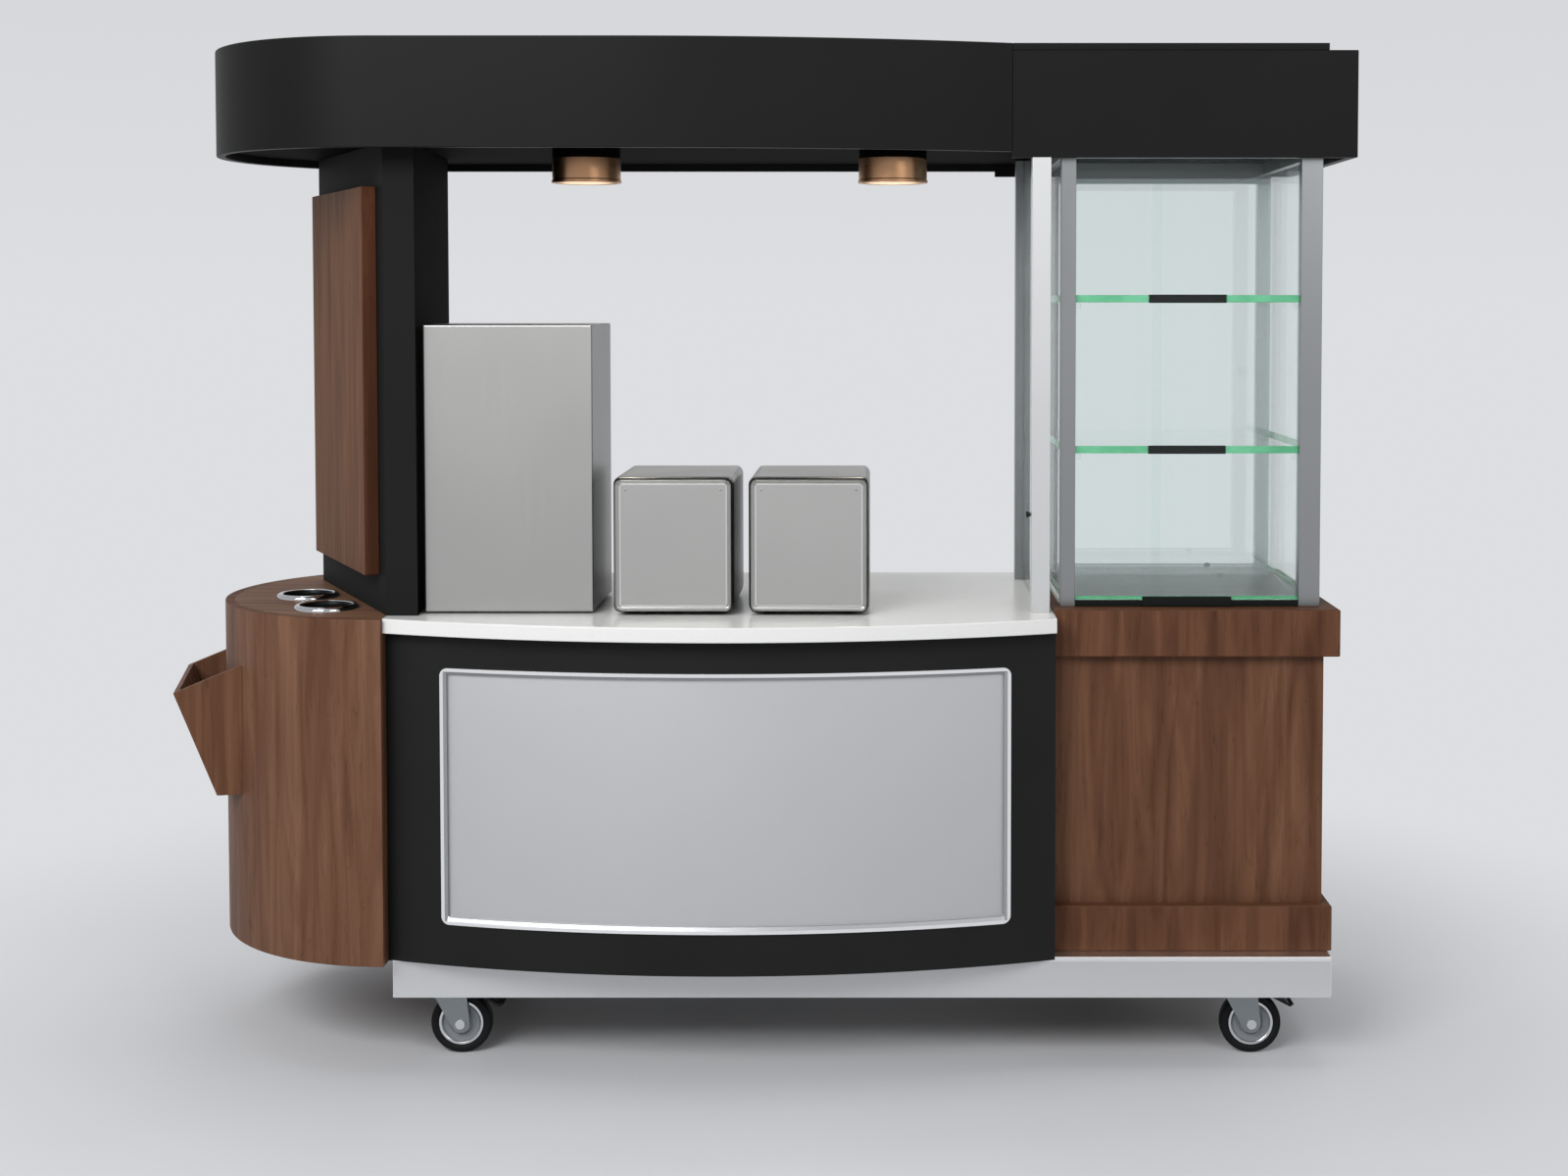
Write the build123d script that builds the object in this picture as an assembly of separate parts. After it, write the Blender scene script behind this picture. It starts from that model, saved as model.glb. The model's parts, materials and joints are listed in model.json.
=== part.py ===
from build123d import *
import os
from math import cos, radians, sin, sqrt

# A mobile coffee cart: a half-round walnut drum, a counter with a bowed front, a walnut
# cabinet with a glass showcase on it, and a black canopy over all three, on four casters.
# Drawing frame, in millimetres: x = 0 where the drum meets the counter, y = 0 at the front
# of the base, z = 0 on the floor. Every piece is moved to the part's own origin, the middle
# of the cart's footprint, when it is written.

# Heights
SKIRT_BOTTOM = 145
BASE_TOP = 228
PAD_Z = 160
CABINET_TOP = 922
WORKTOP_TOP = 914
WORKTOP_THICK = 30
SOFFIT_Z = 1856
CANOPY_TOP = 2057

# How far a cutter reaches past the piece it cuts
CLEAR = 100

# Board and sheet thicknesses
BOARD = 18
SHEET = 3
BOARD_GAP = 2
EDGE_BREAK = 2
SHELF_Z = 560
SHELF_BACK = 60

# Base
BASE_LEFT = 8
BASE_RIGHT = 1891
BASE_REAR = 720
TUBE = 40
FLANGE = 60
PAD_HALF = (60, 50)
PAD_THICK = 5
ARM_REACH = -78
ARM_HALF = 20
CHANNEL_WALL = 4
CROSS_X = (98, 668, 1290, 1718)
ARM_Y = (150, 550)
ARM_BOTTOM = 180
INLET_X = 1600
INLET_Z = 186
INLET_FLANGE = (40, 24, 6)
INLET_BODY = (32, 18, 5)
INLET_MOUTH = (26, 12, 3)
INLET_DEPTH = 30
INLET_FLOOR = 5
INLET_PIN = (3, 4, 12)
INLET_PINS_X = (-13, 0, 13)

# Counter with the bowed front
COUNTER_WIDTH = 1336
COUNTER_REAR = 700
FRAME_BOTTOM = 222
FRAME_THICK = 20
FRAME_SAG = 108
WORKTOP_END_Y = -28
WORKTOP_SAG = 122
WORKTOP_BOTTOM = WORKTOP_TOP - WORKTOP_THICK
WINDOW = (122, 1238, 313, 811)
WINDOW_CORNER = 9
PANEL_RECESS = 5
TRIM_LAP = 7
TRIM_LIP = 6.5
TRIM_PROUD = 5

# Drum
DRUM_RADIUS = 412
DRUM_MID_Y = 370
DRUM_BOTTOM = 220
DRUM_TOP_THICK = 22
WELLS = ((-148, 122), (-231, 293))
WELL_RADIUS = 48
WELL_WALL = 2
WELL_DEPTH = 310
RING_PROFILE = ((49, 0), (65, 0), (64, 4), (60, 8), (55, 9), (51, 7), (49, 3))

# Side bin, square to a radius of the drum
BIN_TURN = 13
BIN_HALF_WIDTH = 180
BIN_REACH_TOP = 505
BIN_REACH_BOTTOM = 422
BIN_RIM_OUTER = 745
BIN_RIM_INNER = 800
BIN_BOTTOM = 531
BIN_WALL = 12

# Pillar, a wedge in plan, with a walnut panel on its slanted flank
PILLAR = ((0, 12), (63, 12), (19, 567), (-270, 567))
PILLAR_WALL = 3
PANEL_THICK = 30
PANEL_START = 52
PANEL_LENGTH = 490
PANEL_Z = (990, 1771)

# Cabinet
CABINET_RIGHT = 1883
CABINET_FRONT = 65
CABINET_REAR = 700
PLINTH_TOP = 320
PLINTH_PROUD = (16, 26)
CORNICE_BOTTOM = 827
CORNICE_PROUD = 28

# Screen at the counter's right end
SCREEN_X = 1290
SCREEN_POST = 38
SCREEN_Y = (54, 570)
SCREEN_PANE = 6

# Showcase
CASE_X = (1351, 1878)
CASE_Y = (86, 690)
POST = 30
POST_WIDE = 43
POST_WALL = 3
RAIL_BOTTOM = 1830
RAIL_DEPTH = 20
TRACK_BOTTOM = 1810
PANE = 5
PANE_INSET = 3
SHELF_THICKS = (6, 15, 15)
SHELF_TOPS = (942, 1248, 1554)
SHELF_INSET = (5, 12)
REST = 12
REST_FRONT = 14
STRIP_WIDTHS = (181, 157, 157)
STRIP_THICK = 4
GLASS_FRONT = 2
GROOVE_SLACK = 2
DOOR_PITCH = 11
DOOR_OVERLAP = 22
TRACK_DEPTH = 8
TRACK_SLACK = 0.5
GRIP_Z = 1380
GRIP_RADIUS = 14
GRIP_THICK = 2
GRIP_INSET = 30

# Canopy
CANOPY_MID_Y = 340
CANOPY_RADIUS = 400
CANOPY_END_X = -10
CANOPY_RIGHT = 1942
SEAM_X = 1251
SEAM_Y = 62
SWEEP_X = 470
FASCIA_THICK = 18
FASCIA_LEFT_BOTTOM = 1841
FASCIA_RIGHT_BOTTOM = 1829
FASCIA_RIGHT_TOP = 2043
LID_RIGHT = 1884
LIGHTS_X = (379, 1012)
LIGHT_Y = 200
LIGHT_RADIUS = 72
COLLAR_HEIGHT = 20
COLLAR_RADIUS = 70
SOFFIT_THICK = 12
LIGHT_HEIGHT = 51
LIGHT_RIM = 4
LENS_RADIUS = 52
LENS_RECESS = 8
LENS_THICK = 6

# Steel housings on the worktop
TALL_BOX = (71, 410, 38, 335, 1495)
SMALL_BOXES = ((451, 693, 24, 344, 1191), (722, 964, 24, 344, 1191))
CASING_WALL = 2
FOOT_HEIGHT = 4
FOOT_HALF = 12
FOOT_INSET = 40
TALL_CORNER = 5
SMALL_CORNER = 12
FRONT_MARGIN = 13
FRONT_PLATE = 3
FRONT_CORNER = 7

# Rear doors
HINGE_RADIUS = 4.5
PIN_RADIUS = 2.5
KNUCKLE = 22
LEAF_WIDTH = 13
LEAF_THICK = 2
KNUCKLE_GAP = 0.2
RUNNING_GAP = 0.05
HINGE_INSET = 90
KNOB_RADIUS = 15
KNOB_NECK = 6
KNOB_LENGTHS = (12, 24)
KNOB_INSET = 45
KNOB_RISE = 120

# Casters
WHEEL_RADIUS = 62.5
RIM_RADIUS = 47
AXLE_RADIUS = 6
TRAIL = 28
CASTERS = {"fl": (98, 108), "fr": (1718, 108), "rl": (98, 600), "rr": (1718, 600)}
BRAKED = ("fl", "fr")
CHEEK_INNER = 20
CHEEK = 3
CROWN_X = (-37, 39)
CROWN_Z = 142
CROWN_THICK = 4
BOSS_RADIUS = 19
AXLE_HEAD = (10, 5)
HUB = ((13, 18.5), (14, 7))
WEB = ((37, 6), (39, 14))
TYRE_SIDE = (15, 16)
TREAD_BREAK = (5, 6)
STEM_RADIUS = 8
STEM_GAP = 0.5
RACE_RADIUS = 30
RACE_INSET = 4
RACE_Z = (150.7, 151)
PLATE_HALF = (50, 38)
PLATE_THICK = 5
EAR = ((24, 142), (58, 142), (58, 124), (42, 118))
PEDAL_PIVOT = (50, 130)
PEDAL_TOE = (109, 99)
PEDAL_THICK = 5
PEDAL_PIN = 3
PEDAL_BARREL = 5.5
TOE_REACH = 5
TOE_RISE = 4
RIBS_BACK = (30, 22, 14)
RIB = ((0, -0.5), (3, -0.5), (3, 1.5), (0, 1.5))
RIB_INSET = 3

# Values worked out from the driving dimensions
HALF_COUNTER = COUNTER_WIDTH / 2
FRAME_RADIUS = (HALF_COUNTER**2 + FRAME_SAG**2) / (2 * FRAME_SAG)
BOW_CENTRE = (HALF_COUNTER, FRAME_RADIUS - FRAME_SAG)
WORKTOP_RADIUS = (HALF_COUNTER**2 + WORKTOP_SAG**2) / (2 * WORKTOP_SAG)
WORKTOP_FRONT = WORKTOP_END_Y - WORKTOP_SAG
CANOPY_FRONT = CANOPY_MID_Y - CANOPY_RADIUS
CANOPY_REAR = CANOPY_MID_Y + CANOPY_RADIUS
SWEEP_DROP = SEAM_Y - CANOPY_FRONT
SWEEP_RADIUS = ((SEAM_X - SWEEP_X) ** 2 + SWEEP_DROP**2) / (2 * SWEEP_DROP)
BIN_LEFT = -BIN_REACH_TOP * cos(radians(BIN_TURN)) - BIN_HALF_WIDTH * sin(radians(BIN_TURN))
FLANK_RUN = (PILLAR[3][0] - PILLAR[0][0], PILLAR[3][1] - PILLAR[0][1])
FLANK_LENGTH = sqrt(FLANK_RUN[0] ** 2 + FLANK_RUN[1] ** 2)
MID_X = (BIN_LEFT + CANOPY_RIGHT) / 2
MID_Y = (WORKTOP_FRONT + DRUM_MID_Y + DRUM_RADIUS) / 2
TO_ORIGIN = Pos(-MID_X, -MID_Y, 0)


def save(name, *shapes):
    """Writes one node, moved to the part's own origin."""
    solids = [TO_ORIGIN * solid for shape in shapes for solid in shape.solids()]
    whole = solids[0] if len(solids) == 1 else Compound(solids)
    export_step(whole, f"parts/{name}.step")


def block(x0, x1, y0, y1, z0, z1):
    """A box between two corners."""
    centre = ((x0 + x1) / 2, (y0 + y1) / 2, (z0 + z1) / 2)
    return Pos(*centre) * Box(x1 - x0, y1 - y0, z1 - z0)


def tube(x0, x1, y0, y1, z0, z1):
    """An upright box-section post."""
    wall = POST_WALL
    return block(x0, x1, y0, y1, z0, z1) - block(x0 + wall, x1 - wall, y0 + wall, y1 - wall, z0, z1)


def disc(x, y, radius, z0, z1):
    """An upright cylinder."""
    return Pos(x, y, (z0 + z1) / 2) * Cylinder(radius, z1 - z0)


def rod(x, z, radius, y0, y1):
    """A cylinder along y."""
    return Pos(x, (y0 + y1) / 2, z) * Rot(90, 0, 0) * Cylinder(radius, y1 - y0)


def plan(sketch, z0, z1):
    """A plan outline raised between two heights."""
    return Pos(0, 0, z0) * extrude(sketch, z1 - z0)


def side_view(sketch, y0, y1):
    """An outline in x and z, carried from y0 to y1."""
    return Pos(0, y1, 0) * Rot(90, 0, 0) * extrude(sketch, y1 - y0)


def rectangle(x0, x1, y0, y1):
    """A flat rectangle between two corners."""
    return Pos((x0 + x1) / 2, (y0 + y1) / 2) * Rectangle(x1 - x0, y1 - y0)


def rounded(x0, x1, y0, y1, radius):
    """A flat rectangle with round corners."""
    return Pos((x0 + x1) / 2, (y0 + y1) / 2) * RectangleRounded(x1 - x0, y1 - y0, radius)


def bow(outer, inner, x0, x1, z0, z1):
    """A slab bent to the counter's bow, between two distances from the frame's face."""
    ring = Pos(*BOW_CENTRE) * (Circle(FRAME_RADIUS + outer) - Circle(FRAME_RADIUS + inner))
    front = rectangle(x0, x1, -FRAME_SAG - CLEAR, FRAME_THICK + CLEAR)
    return plan(ring & front, z0, z1)


def behind_bow(shape):
    """The part of a board that lies behind the bowed frame."""
    room = Pos(*BOW_CENTRE) * Circle(FRAME_RADIUS - FRAME_THICK)
    return shape & plan(room, 0, CANOPY_TOP)


def base_members(left, right, front, rear, width, z0, z1):
    """The base's four outer members and its four cross members, as plain bars."""
    bars = block(left, right, front, rear, z0, z1)
    bars -= block(left + width, right - width, front + width, rear - width, z0, z1)
    for x in CROSS_X:
        bars += block(x - width / 2, x + width / 2, front + width / 2, rear - width / 2, z0, z1)
    return bars


def build_base():
    """The welded frame of open channels, the folded skirt round it and the power inlet."""
    left, right = BASE_LEFT + SHEET, BASE_RIGHT - SHEET
    front, rear = SHEET, BASE_REAR - SHEET
    top, low = BASE_TOP - SHEET, PAD_Z + PAD_THICK
    frame = base_members(left, right, front, rear, TUBE, low, top)
    wall = CHANNEL_WALL
    frame -= base_members(
        left + wall, right - wall, front + wall, rear - wall, TUBE - 2 * wall, low, top - wall
    )
    for x, y in CASTERS.values():
        half_x, half_y = PAD_HALF
        frame += block(x - half_x, x + half_x, y - half_y, y + half_y, PAD_Z, low)
    for y in ARM_Y:
        side = (y - ARM_HALF, y + ARM_HALF)
        frame += block(ARM_REACH, left + wall, *side, ARM_BOTTOM, DRUM_BOTTOM)
    save("base_frame", frame)

    skirt = block(BASE_LEFT, BASE_RIGHT, 0, BASE_REAR, SKIRT_BOTTOM, BASE_TOP)
    skirt -= block(left, right, front, rear, SKIRT_BOTTOM, top)
    skirt -= block(left + FLANGE, right - FLANGE, front + FLANGE, rear - FLANGE, top, BASE_TOP)
    for y in ARM_Y:
        skirt -= block(BASE_LEFT, left, y - ARM_HALF, y + ARM_HALF, ARM_BOTTOM, DRUM_BOTTOM)
    save("base_skirt", skirt)

    y, deep = BASE_REAR, BASE_REAR + INLET_DEPTH
    floor = y + INLET_FLOOR
    inlet = side_view(inlet_outline(*INLET_FLANGE), y, y + SHEET)
    inlet += side_view(inlet_outline(*INLET_BODY), y, deep)
    inlet -= side_view(inlet_outline(*INLET_MOUTH), floor, deep)
    half_x, half_z, reach = INLET_PIN
    for x in INLET_PINS_X:
        across = (INLET_X + x - half_x, INLET_X + x + half_x)
        inlet += block(*across, y + SHEET, floor + reach, INLET_Z - half_z, INLET_Z + half_z)
    save("power_inlet", inlet)


def inlet_outline(half_x, half_z, radius):
    """A rounded outline about the inlet's middle."""
    x, z = INLET_X, INLET_Z
    return rounded(x - half_x, x + half_x, z - half_z, z + half_z, radius)


def build_counter():
    """Carcass, worktop and the bowed frame with its silver panel and trim."""
    rear = COUNTER_REAR
    floor_top = BASE_TOP + BOARD
    wall_top = WORKTOP_BOTTOM
    floor = behind_bow(block(0, COUNTER_WIDTH, -FRAME_SAG, rear, BASE_TOP, floor_top))

    middle = HALF_COUNTER
    uprights = [
        behind_bow(block(x, x + BOARD, -FRAME_SAG, y1, floor_top, wall_top))
        for x, y1 in ((0, rear), (middle - BOARD / 2, rear - 20), (COUNTER_WIDTH - BOARD, rear))
    ]
    save("counter_uprights", *uprights)
    shelves = [
        block(x0, x1, SHELF_BACK, rear - SHELF_BACK, SHELF_Z, SHELF_Z + BOARD)
        for x0, x1 in ((BOARD, middle - BOARD / 2), (middle + BOARD / 2, COUNTER_WIDTH - BOARD))
    ]
    save("counter_boards", floor, *shelves)

    disc_plan = Pos(middle, WORKTOP_FRONT + WORKTOP_RADIUS) * Circle(WORKTOP_RADIUS)
    top_plan = disc_plan & rectangle(0, COUNTER_WIDTH, WORKTOP_FRONT - CLEAR, rear)
    slab = plan(top_plan, WORKTOP_BOTTOM, WORKTOP_TOP)
    front_edges = slab.edges().filter_by(GeomType.CIRCLE)
    save("counter_worktop", chamfer(front_edges, EDGE_BREAK))

    x0, x1, z0, z1 = WINDOW
    cut = (WORKTOP_FRONT - CLEAR, FRAME_THICK + CLEAR)
    hole = side_view(rounded(x0, x1, z0, z1, WINDOW_CORNER), *cut)
    frame = bow(0, -FRAME_THICK, 0, COUNTER_WIDTH, FRAME_BOTTOM, WORKTOP_BOTTOM)
    frame -= block(0, COUNTER_WIDTH, 0, FRAME_THICK + CLEAR, FRAME_BOTTOM, BASE_TOP)
    save("front_frame", frame - hole)

    around = (x0 - CLEAR, x1 + CLEAR, z0 - CLEAR, z1 + CLEAR)
    panel = bow(-PANEL_RECESS, -PANEL_RECESS - SHEET, *around)
    save("front_panel", panel & hole)

    lap, lip = TRIM_LAP, TRIM_LIP
    inner_corner = WINDOW_CORNER - lip + 1
    outline = rounded(x0 - lap, x1 + lap, z0 - lap, z1 + lap, WINDOW_CORNER + lap)
    inner = side_view(rounded(x0 + lip, x1 - lip, z0 + lip, z1 - lip, inner_corner), *cut)
    cover = bow(TRIM_PROUD, 0, *around) & side_view(outline, *cut)
    tongue = bow(0, -PANEL_RECESS, *around) & hole
    save("front_trim", cover + tongue - inner)


def drum_plan(inset):
    """The half-round plan of the drum, inset from its outer face."""
    radius = DRUM_RADIUS - inset
    arc = ThreePointArc((0, DRUM_MID_Y - radius), (-radius, DRUM_MID_Y), (0, DRUM_MID_Y + radius))
    return make_face([arc, Line((0, DRUM_MID_Y + radius), (0, DRUM_MID_Y - radius))])


def build_drum():
    """Bent wall, flat back, floor and top, and the two cup wells with their rings."""
    inside = drum_plan(BOARD)
    save("drum_wall", plan(drum_plan(0) - inside, DRUM_BOTTOM, WORKTOP_TOP))

    board_top = WORKTOP_TOP - DRUM_TOP_THICK
    room = plan(inside, DRUM_BOTTOM, board_top)
    deep = (DRUM_MID_Y - DRUM_RADIUS, DRUM_MID_Y + DRUM_RADIUS)
    floor = room & block(-DRUM_RADIUS, -BOARD, *deep, DRUM_BOTTOM, DRUM_BOTTOM + BOARD)
    back = room & block(-BOARD, 0, *deep, DRUM_BOTTOM, board_top)
    save("drum_boards", floor, back)

    top = plan(inside, board_top, WORKTOP_TOP)
    rings, wells = [], []
    tube_radius = WELL_RADIUS + WELL_WALL
    for x, y in WELLS:
        top -= disc(x, y, tube_radius, board_top, WORKTOP_TOP)
        bottom = WORKTOP_TOP - WELL_DEPTH - SHEET
        tube = disc(x, y, tube_radius, bottom, WORKTOP_TOP)
        wells.append(tube - disc(x, y, WELL_RADIUS, bottom + SHEET, WORKTOP_TOP))
        rings.append(Pos(x, y, WORKTOP_TOP) * cup_ring())
    save("drum_top", top)
    save("cup_rings", *rings)
    save("cup_wells", *wells)


def cup_ring():
    """A pressed ring round a well's mouth, raised in the middle of its section."""
    return revolve(Plane.XZ * make_face(Polyline(*RING_PROFILE, close=True)), Axis.Z)


def build_bin():
    """The wedge-shaped bin on the drum: two cheeks, a sloping front and a floor."""
    wall, half = BIN_WALL, BIN_HALF_WIDTH
    inner = sqrt(DRUM_RADIUS**2 - half**2) - 5
    face_slope = (BIN_REACH_TOP - BIN_REACH_BOTTOM) / (BIN_RIM_OUTER - BIN_BOTTOM)
    corners = (
        (inner, BIN_BOTTOM),
        (BIN_REACH_BOTTOM, BIN_BOTTOM),
        (BIN_REACH_TOP, BIN_RIM_OUTER),
        (inner, BIN_RIM_INNER),
    )
    outside = side_view(make_face(Polyline(*corners, close=True)), -half, half)
    slant = wall * sqrt(1 + face_slope**2)
    floor_z = BIN_BOTTOM + wall
    low_reach = BIN_REACH_BOTTOM + wall * face_slope - slant
    high_z = BIN_RIM_INNER + CLEAR
    high_reach = low_reach + (high_z - floor_z) * face_slope
    near = inner - CLEAR
    room = ((near, floor_z), (low_reach, floor_z), (high_reach, high_z), (near, high_z))
    hollow = side_view(make_face(Polyline(*room, close=True)), -half + wall, half - wall)
    shell = Rot(0, 0, 180 + BIN_TURN) * (outside - hollow)
    shell = Pos(0, DRUM_MID_Y, 0) * shell
    save("side_bin", shell - disc(0, DRUM_MID_Y, DRUM_RADIUS, 0, CANOPY_TOP))


def build_pillar():
    """The black wedge pillar and the thick walnut panel on its flank."""
    wedge = make_face(Polyline(*PILLAR, close=True))
    skin = wedge - offset(wedge, -PILLAR_WALL, kind=Kind.INTERSECTION)
    save("pillar", plan(skin, WORKTOP_TOP, SOFFIT_Z))
    along = (FLANK_RUN[0] / FLANK_LENGTH, FLANK_RUN[1] / FLANK_LENGTH)
    out = (-along[1], along[0])

    def flank_point(distance, depth):
        x = PILLAR[0][0] + along[0] * distance + out[0] * depth
        y = PILLAR[0][1] + along[1] * distance + out[1] * depth
        return (x, y)

    start, end = PANEL_START, PANEL_START + PANEL_LENGTH
    places = ((start, 0), (end, 0), (end, PANEL_THICK), (start, PANEL_THICK))
    corners = [flank_point(*place) for place in places]
    panel = plan(make_face(Polyline(*corners, close=True)), *PANEL_Z)
    outer_face = panel.faces().sort_by_distance((-DRUM_RADIUS, -DRUM_RADIUS, CABINET_TOP))[0]
    save("pillar_panel", chamfer(outer_face.edges(), EDGE_BREAK))


def corner_board(proud_x, proud_y, z0, z1):
    """Two boards round the cabinet's front and right side, mitred into one corner."""
    left, right, front = COUNTER_WIDTH, CABINET_RIGHT, CABINET_FRONT
    boards = block(left, right + proud_x, front - proud_y, CABINET_REAR, z0, z1)
    outer = boards.faces().sort_by(Axis.Y)[0].edges() + boards.faces().sort_by(Axis.X)[-1].edges()
    rear = boards.faces().sort_by(Axis.Y)[-1].edges() + boards.faces().sort_by(Axis.X)[0].edges()
    boards = chamfer([edge for edge in outer if edge not in rear], EDGE_BREAK)
    return boards - block(left, right, front, CABINET_REAR, z0, z1)


def build_cabinet():
    """Walls, boards, plinth and cornice of the walnut cabinet."""
    left, right, front, rear = COUNTER_WIDTH, CABINET_RIGHT, CABINET_FRONT, CABINET_REAR
    wall_top = CABINET_TOP - BOARD
    save(
        "cabinet_walls",
        block(left, right, front, front + BOARD, BASE_TOP, wall_top),
        block(left, left + BOARD, front + BOARD, rear, BASE_TOP, wall_top),
        block(right - BOARD, right, front + BOARD, rear, BASE_TOP, wall_top),
    )
    inside = (left + BOARD, right - BOARD, front + BOARD)
    save(
        "cabinet_boards",
        block(*inside, rear, BASE_TOP, BASE_TOP + BOARD),
        block(*inside, rear - SHELF_BACK, SHELF_Z, SHELF_Z + BOARD),
        block(left, right, front, rear, wall_top, CABINET_TOP),
    )
    save("cabinet_plinth", corner_board(*PLINTH_PROUD, BASE_TOP, PLINTH_TOP))
    save("cabinet_cornice", corner_board(CORNICE_PROUD, CORNICE_PROUD, CORNICE_BOTTOM, CABINET_TOP))


def build_screen():
    """Two posts and a glass pane between the counter and the showcase."""
    over = block(SEAM_X, CANOPY_RIGHT, SEAM_Y, SEAM_Y + FASCIA_THICK, FASCIA_RIGHT_BOTTOM, SOFFIT_Z)
    over += block(SEAM_X, CANOPY_RIGHT, SEAM_Y - CLEAR, SEAM_Y, FASCIA_RIGHT_BOTTOM, SOFFIT_Z)
    posts = [
        tube(SCREEN_X, SCREEN_X + SCREEN_POST, y, y + SCREEN_POST, WORKTOP_TOP, SOFFIT_Z) - over
        for y in SCREEN_Y
    ]
    save("screen_posts", *posts)
    middle = SCREEN_X + SCREEN_POST / 2
    pane = block(
        middle - SCREEN_PANE / 2,
        middle + SCREEN_PANE / 2,
        SCREEN_Y[0] + SCREEN_POST,
        SCREEN_Y[1],
        WORKTOP_TOP,
        SOFFIT_Z,
    )
    save("screen_glass", pane)


def build_showcase():
    """Posts, rails with the door tracks, panes, shelves and the two sliding rear doors."""
    x0, x1 = CASE_X
    y0, y1 = CASE_Y
    feet = {
        (x0, y0): POST,
        (x1 - POST_WIDE, y0): POST_WIDE,
        (x0, y1 - POST): POST_WIDE,
        (x1 - POST, y1 - POST): POST,
    }
    posts = [tube(x, x + wide, y, y + POST, CABINET_TOP, SOFFIT_Z) for (x, y), wide in feet.items()]
    corners = Part() + [block(x, x + wide, y, y + POST, 0, CANOPY_TOP) for (x, y), wide in feet.items()]
    save("showcase_posts", *posts)

    inner_y = (y0 + POST, y1 - POST)
    rails = [
        block(x0 + POST, x1 - POST_WIDE, y0, y0 + RAIL_DEPTH, RAIL_BOTTOM, SOFFIT_Z),
        block(x0, x0 + RAIL_DEPTH, *inner_y, RAIL_BOTTOM, SOFFIT_Z),
        block(x1 - RAIL_DEPTH, x1, *inner_y, RAIL_BOTTOM, SOFFIT_Z),
    ]
    rest_front = (y0 + REST_FRONT, y0 + REST_FRONT + REST)
    rest_rear = (y1 - POST - SHELF_INSET[1] - REST, y1 - POST)
    side = PANE_INSET + PANE
    for top, thick in zip(SHELF_TOPS[1:], SHELF_THICKS[1:]):
        for x, y in (
            (x0 + POST, rest_front),
            (x1 - POST_WIDE - REST, rest_front),
            (x0 + side, rest_rear),
            (x1 - side - REST, rest_rear),
        ):
            rails.append(block(x, x + REST, *y, top - thick - REST, top - thick))

    base_top = SHELF_TOPS[0] - SHELF_THICKS[0]
    floor = block(x0, x1, y0, y1 - POST, CABINET_TOP, base_top)
    save("showcase_base", floor - corners)

    pane_front = y0 + GLASS_FRONT
    panes = [
        block(x0 + POST, x1 - POST_WIDE, pane_front, pane_front + PANE, base_top, RAIL_BOTTOM),
        block(x0 + PANE_INSET, x0 + side, *inner_y, base_top, RAIL_BOTTOM),
        block(x1 - side, x1 - PANE_INSET, *inner_y, base_top, RAIL_BOTTOM),
    ]
    save("showcase_glass", *panes)

    door_x = (x0 + POST_WIDE, x1 - POST)
    track_y = (y1 - POST, y1)
    shelf_x = (x0 + side + 1, x1 - side - 1)
    shelf_y = (pane_front + PANE + SHELF_INSET[0], track_y[0] - SHELF_INSET[1])
    middle = (x0 + POST + x1 - POST_WIDE) / 2
    shelves, strips = [], []
    for top, thick, width in zip(SHELF_TOPS, SHELF_THICKS, STRIP_WIDTHS):
        shelves.append(block(*shelf_x, *shelf_y, top - thick, top) - corners)
        low = CABINET_TOP + 1 if top == SHELF_TOPS[0] else top - thick - 1
        back = y0 if top == SHELF_TOPS[0] else shelf_y[0]
        across = (middle - width / 2, middle + width / 2)
        strips.append(block(*across, back - STRIP_THICK, back, low, top + 1))
    save("showcase_shelves", *shelves)
    save("shelf_strips", *strips)

    groove = PANE + GROOVE_SLACK
    lane_y = [(track_y[0] + track_y[1]) / 2 + shift for shift in (-DOOR_PITCH / 2, DOOR_PITCH / 2)]
    lower = block(*door_x, *track_y, CABINET_TOP, base_top)
    upper = block(*door_x, *track_y, TRACK_BOTTOM, SOFFIT_Z)
    groove_z = base_top - TRACK_DEPTH
    roof_z = TRACK_BOTTOM + TRACK_DEPTH
    for y in lane_y:
        lower -= block(*door_x, y - groove / 2, y + groove / 2, groove_z, base_top)
        upper -= block(*door_x, y - groove / 2, y + groove / 2, TRACK_BOTTOM, roof_z)
    save("showcase_rails", *rails, lower, upper)

    half = (door_x[0] + door_x[1]) / 2
    spans = ((door_x[0] + 1, half + DOOR_OVERLAP / 2), (half - DOOR_OVERLAP / 2, door_x[1] - 1))
    lanes = (lane_y[1], lane_y[0])
    grips = (door_x[0] + GRIP_INSET, door_x[1] - GRIP_INSET)
    for name, span, y, grip in zip(("left", "right"), spans, lanes, grips):
        front, back = y - PANE / 2, y + PANE / 2
        pane = block(*span, front, back, groove_z + TRACK_SLACK, roof_z - TRACK_SLACK)
        pad = rod(grip, GRIP_Z, GRIP_RADIUS, back, back + GRIP_THICK)
        save(f"showcase_door_{name}", pane, pad)


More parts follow.
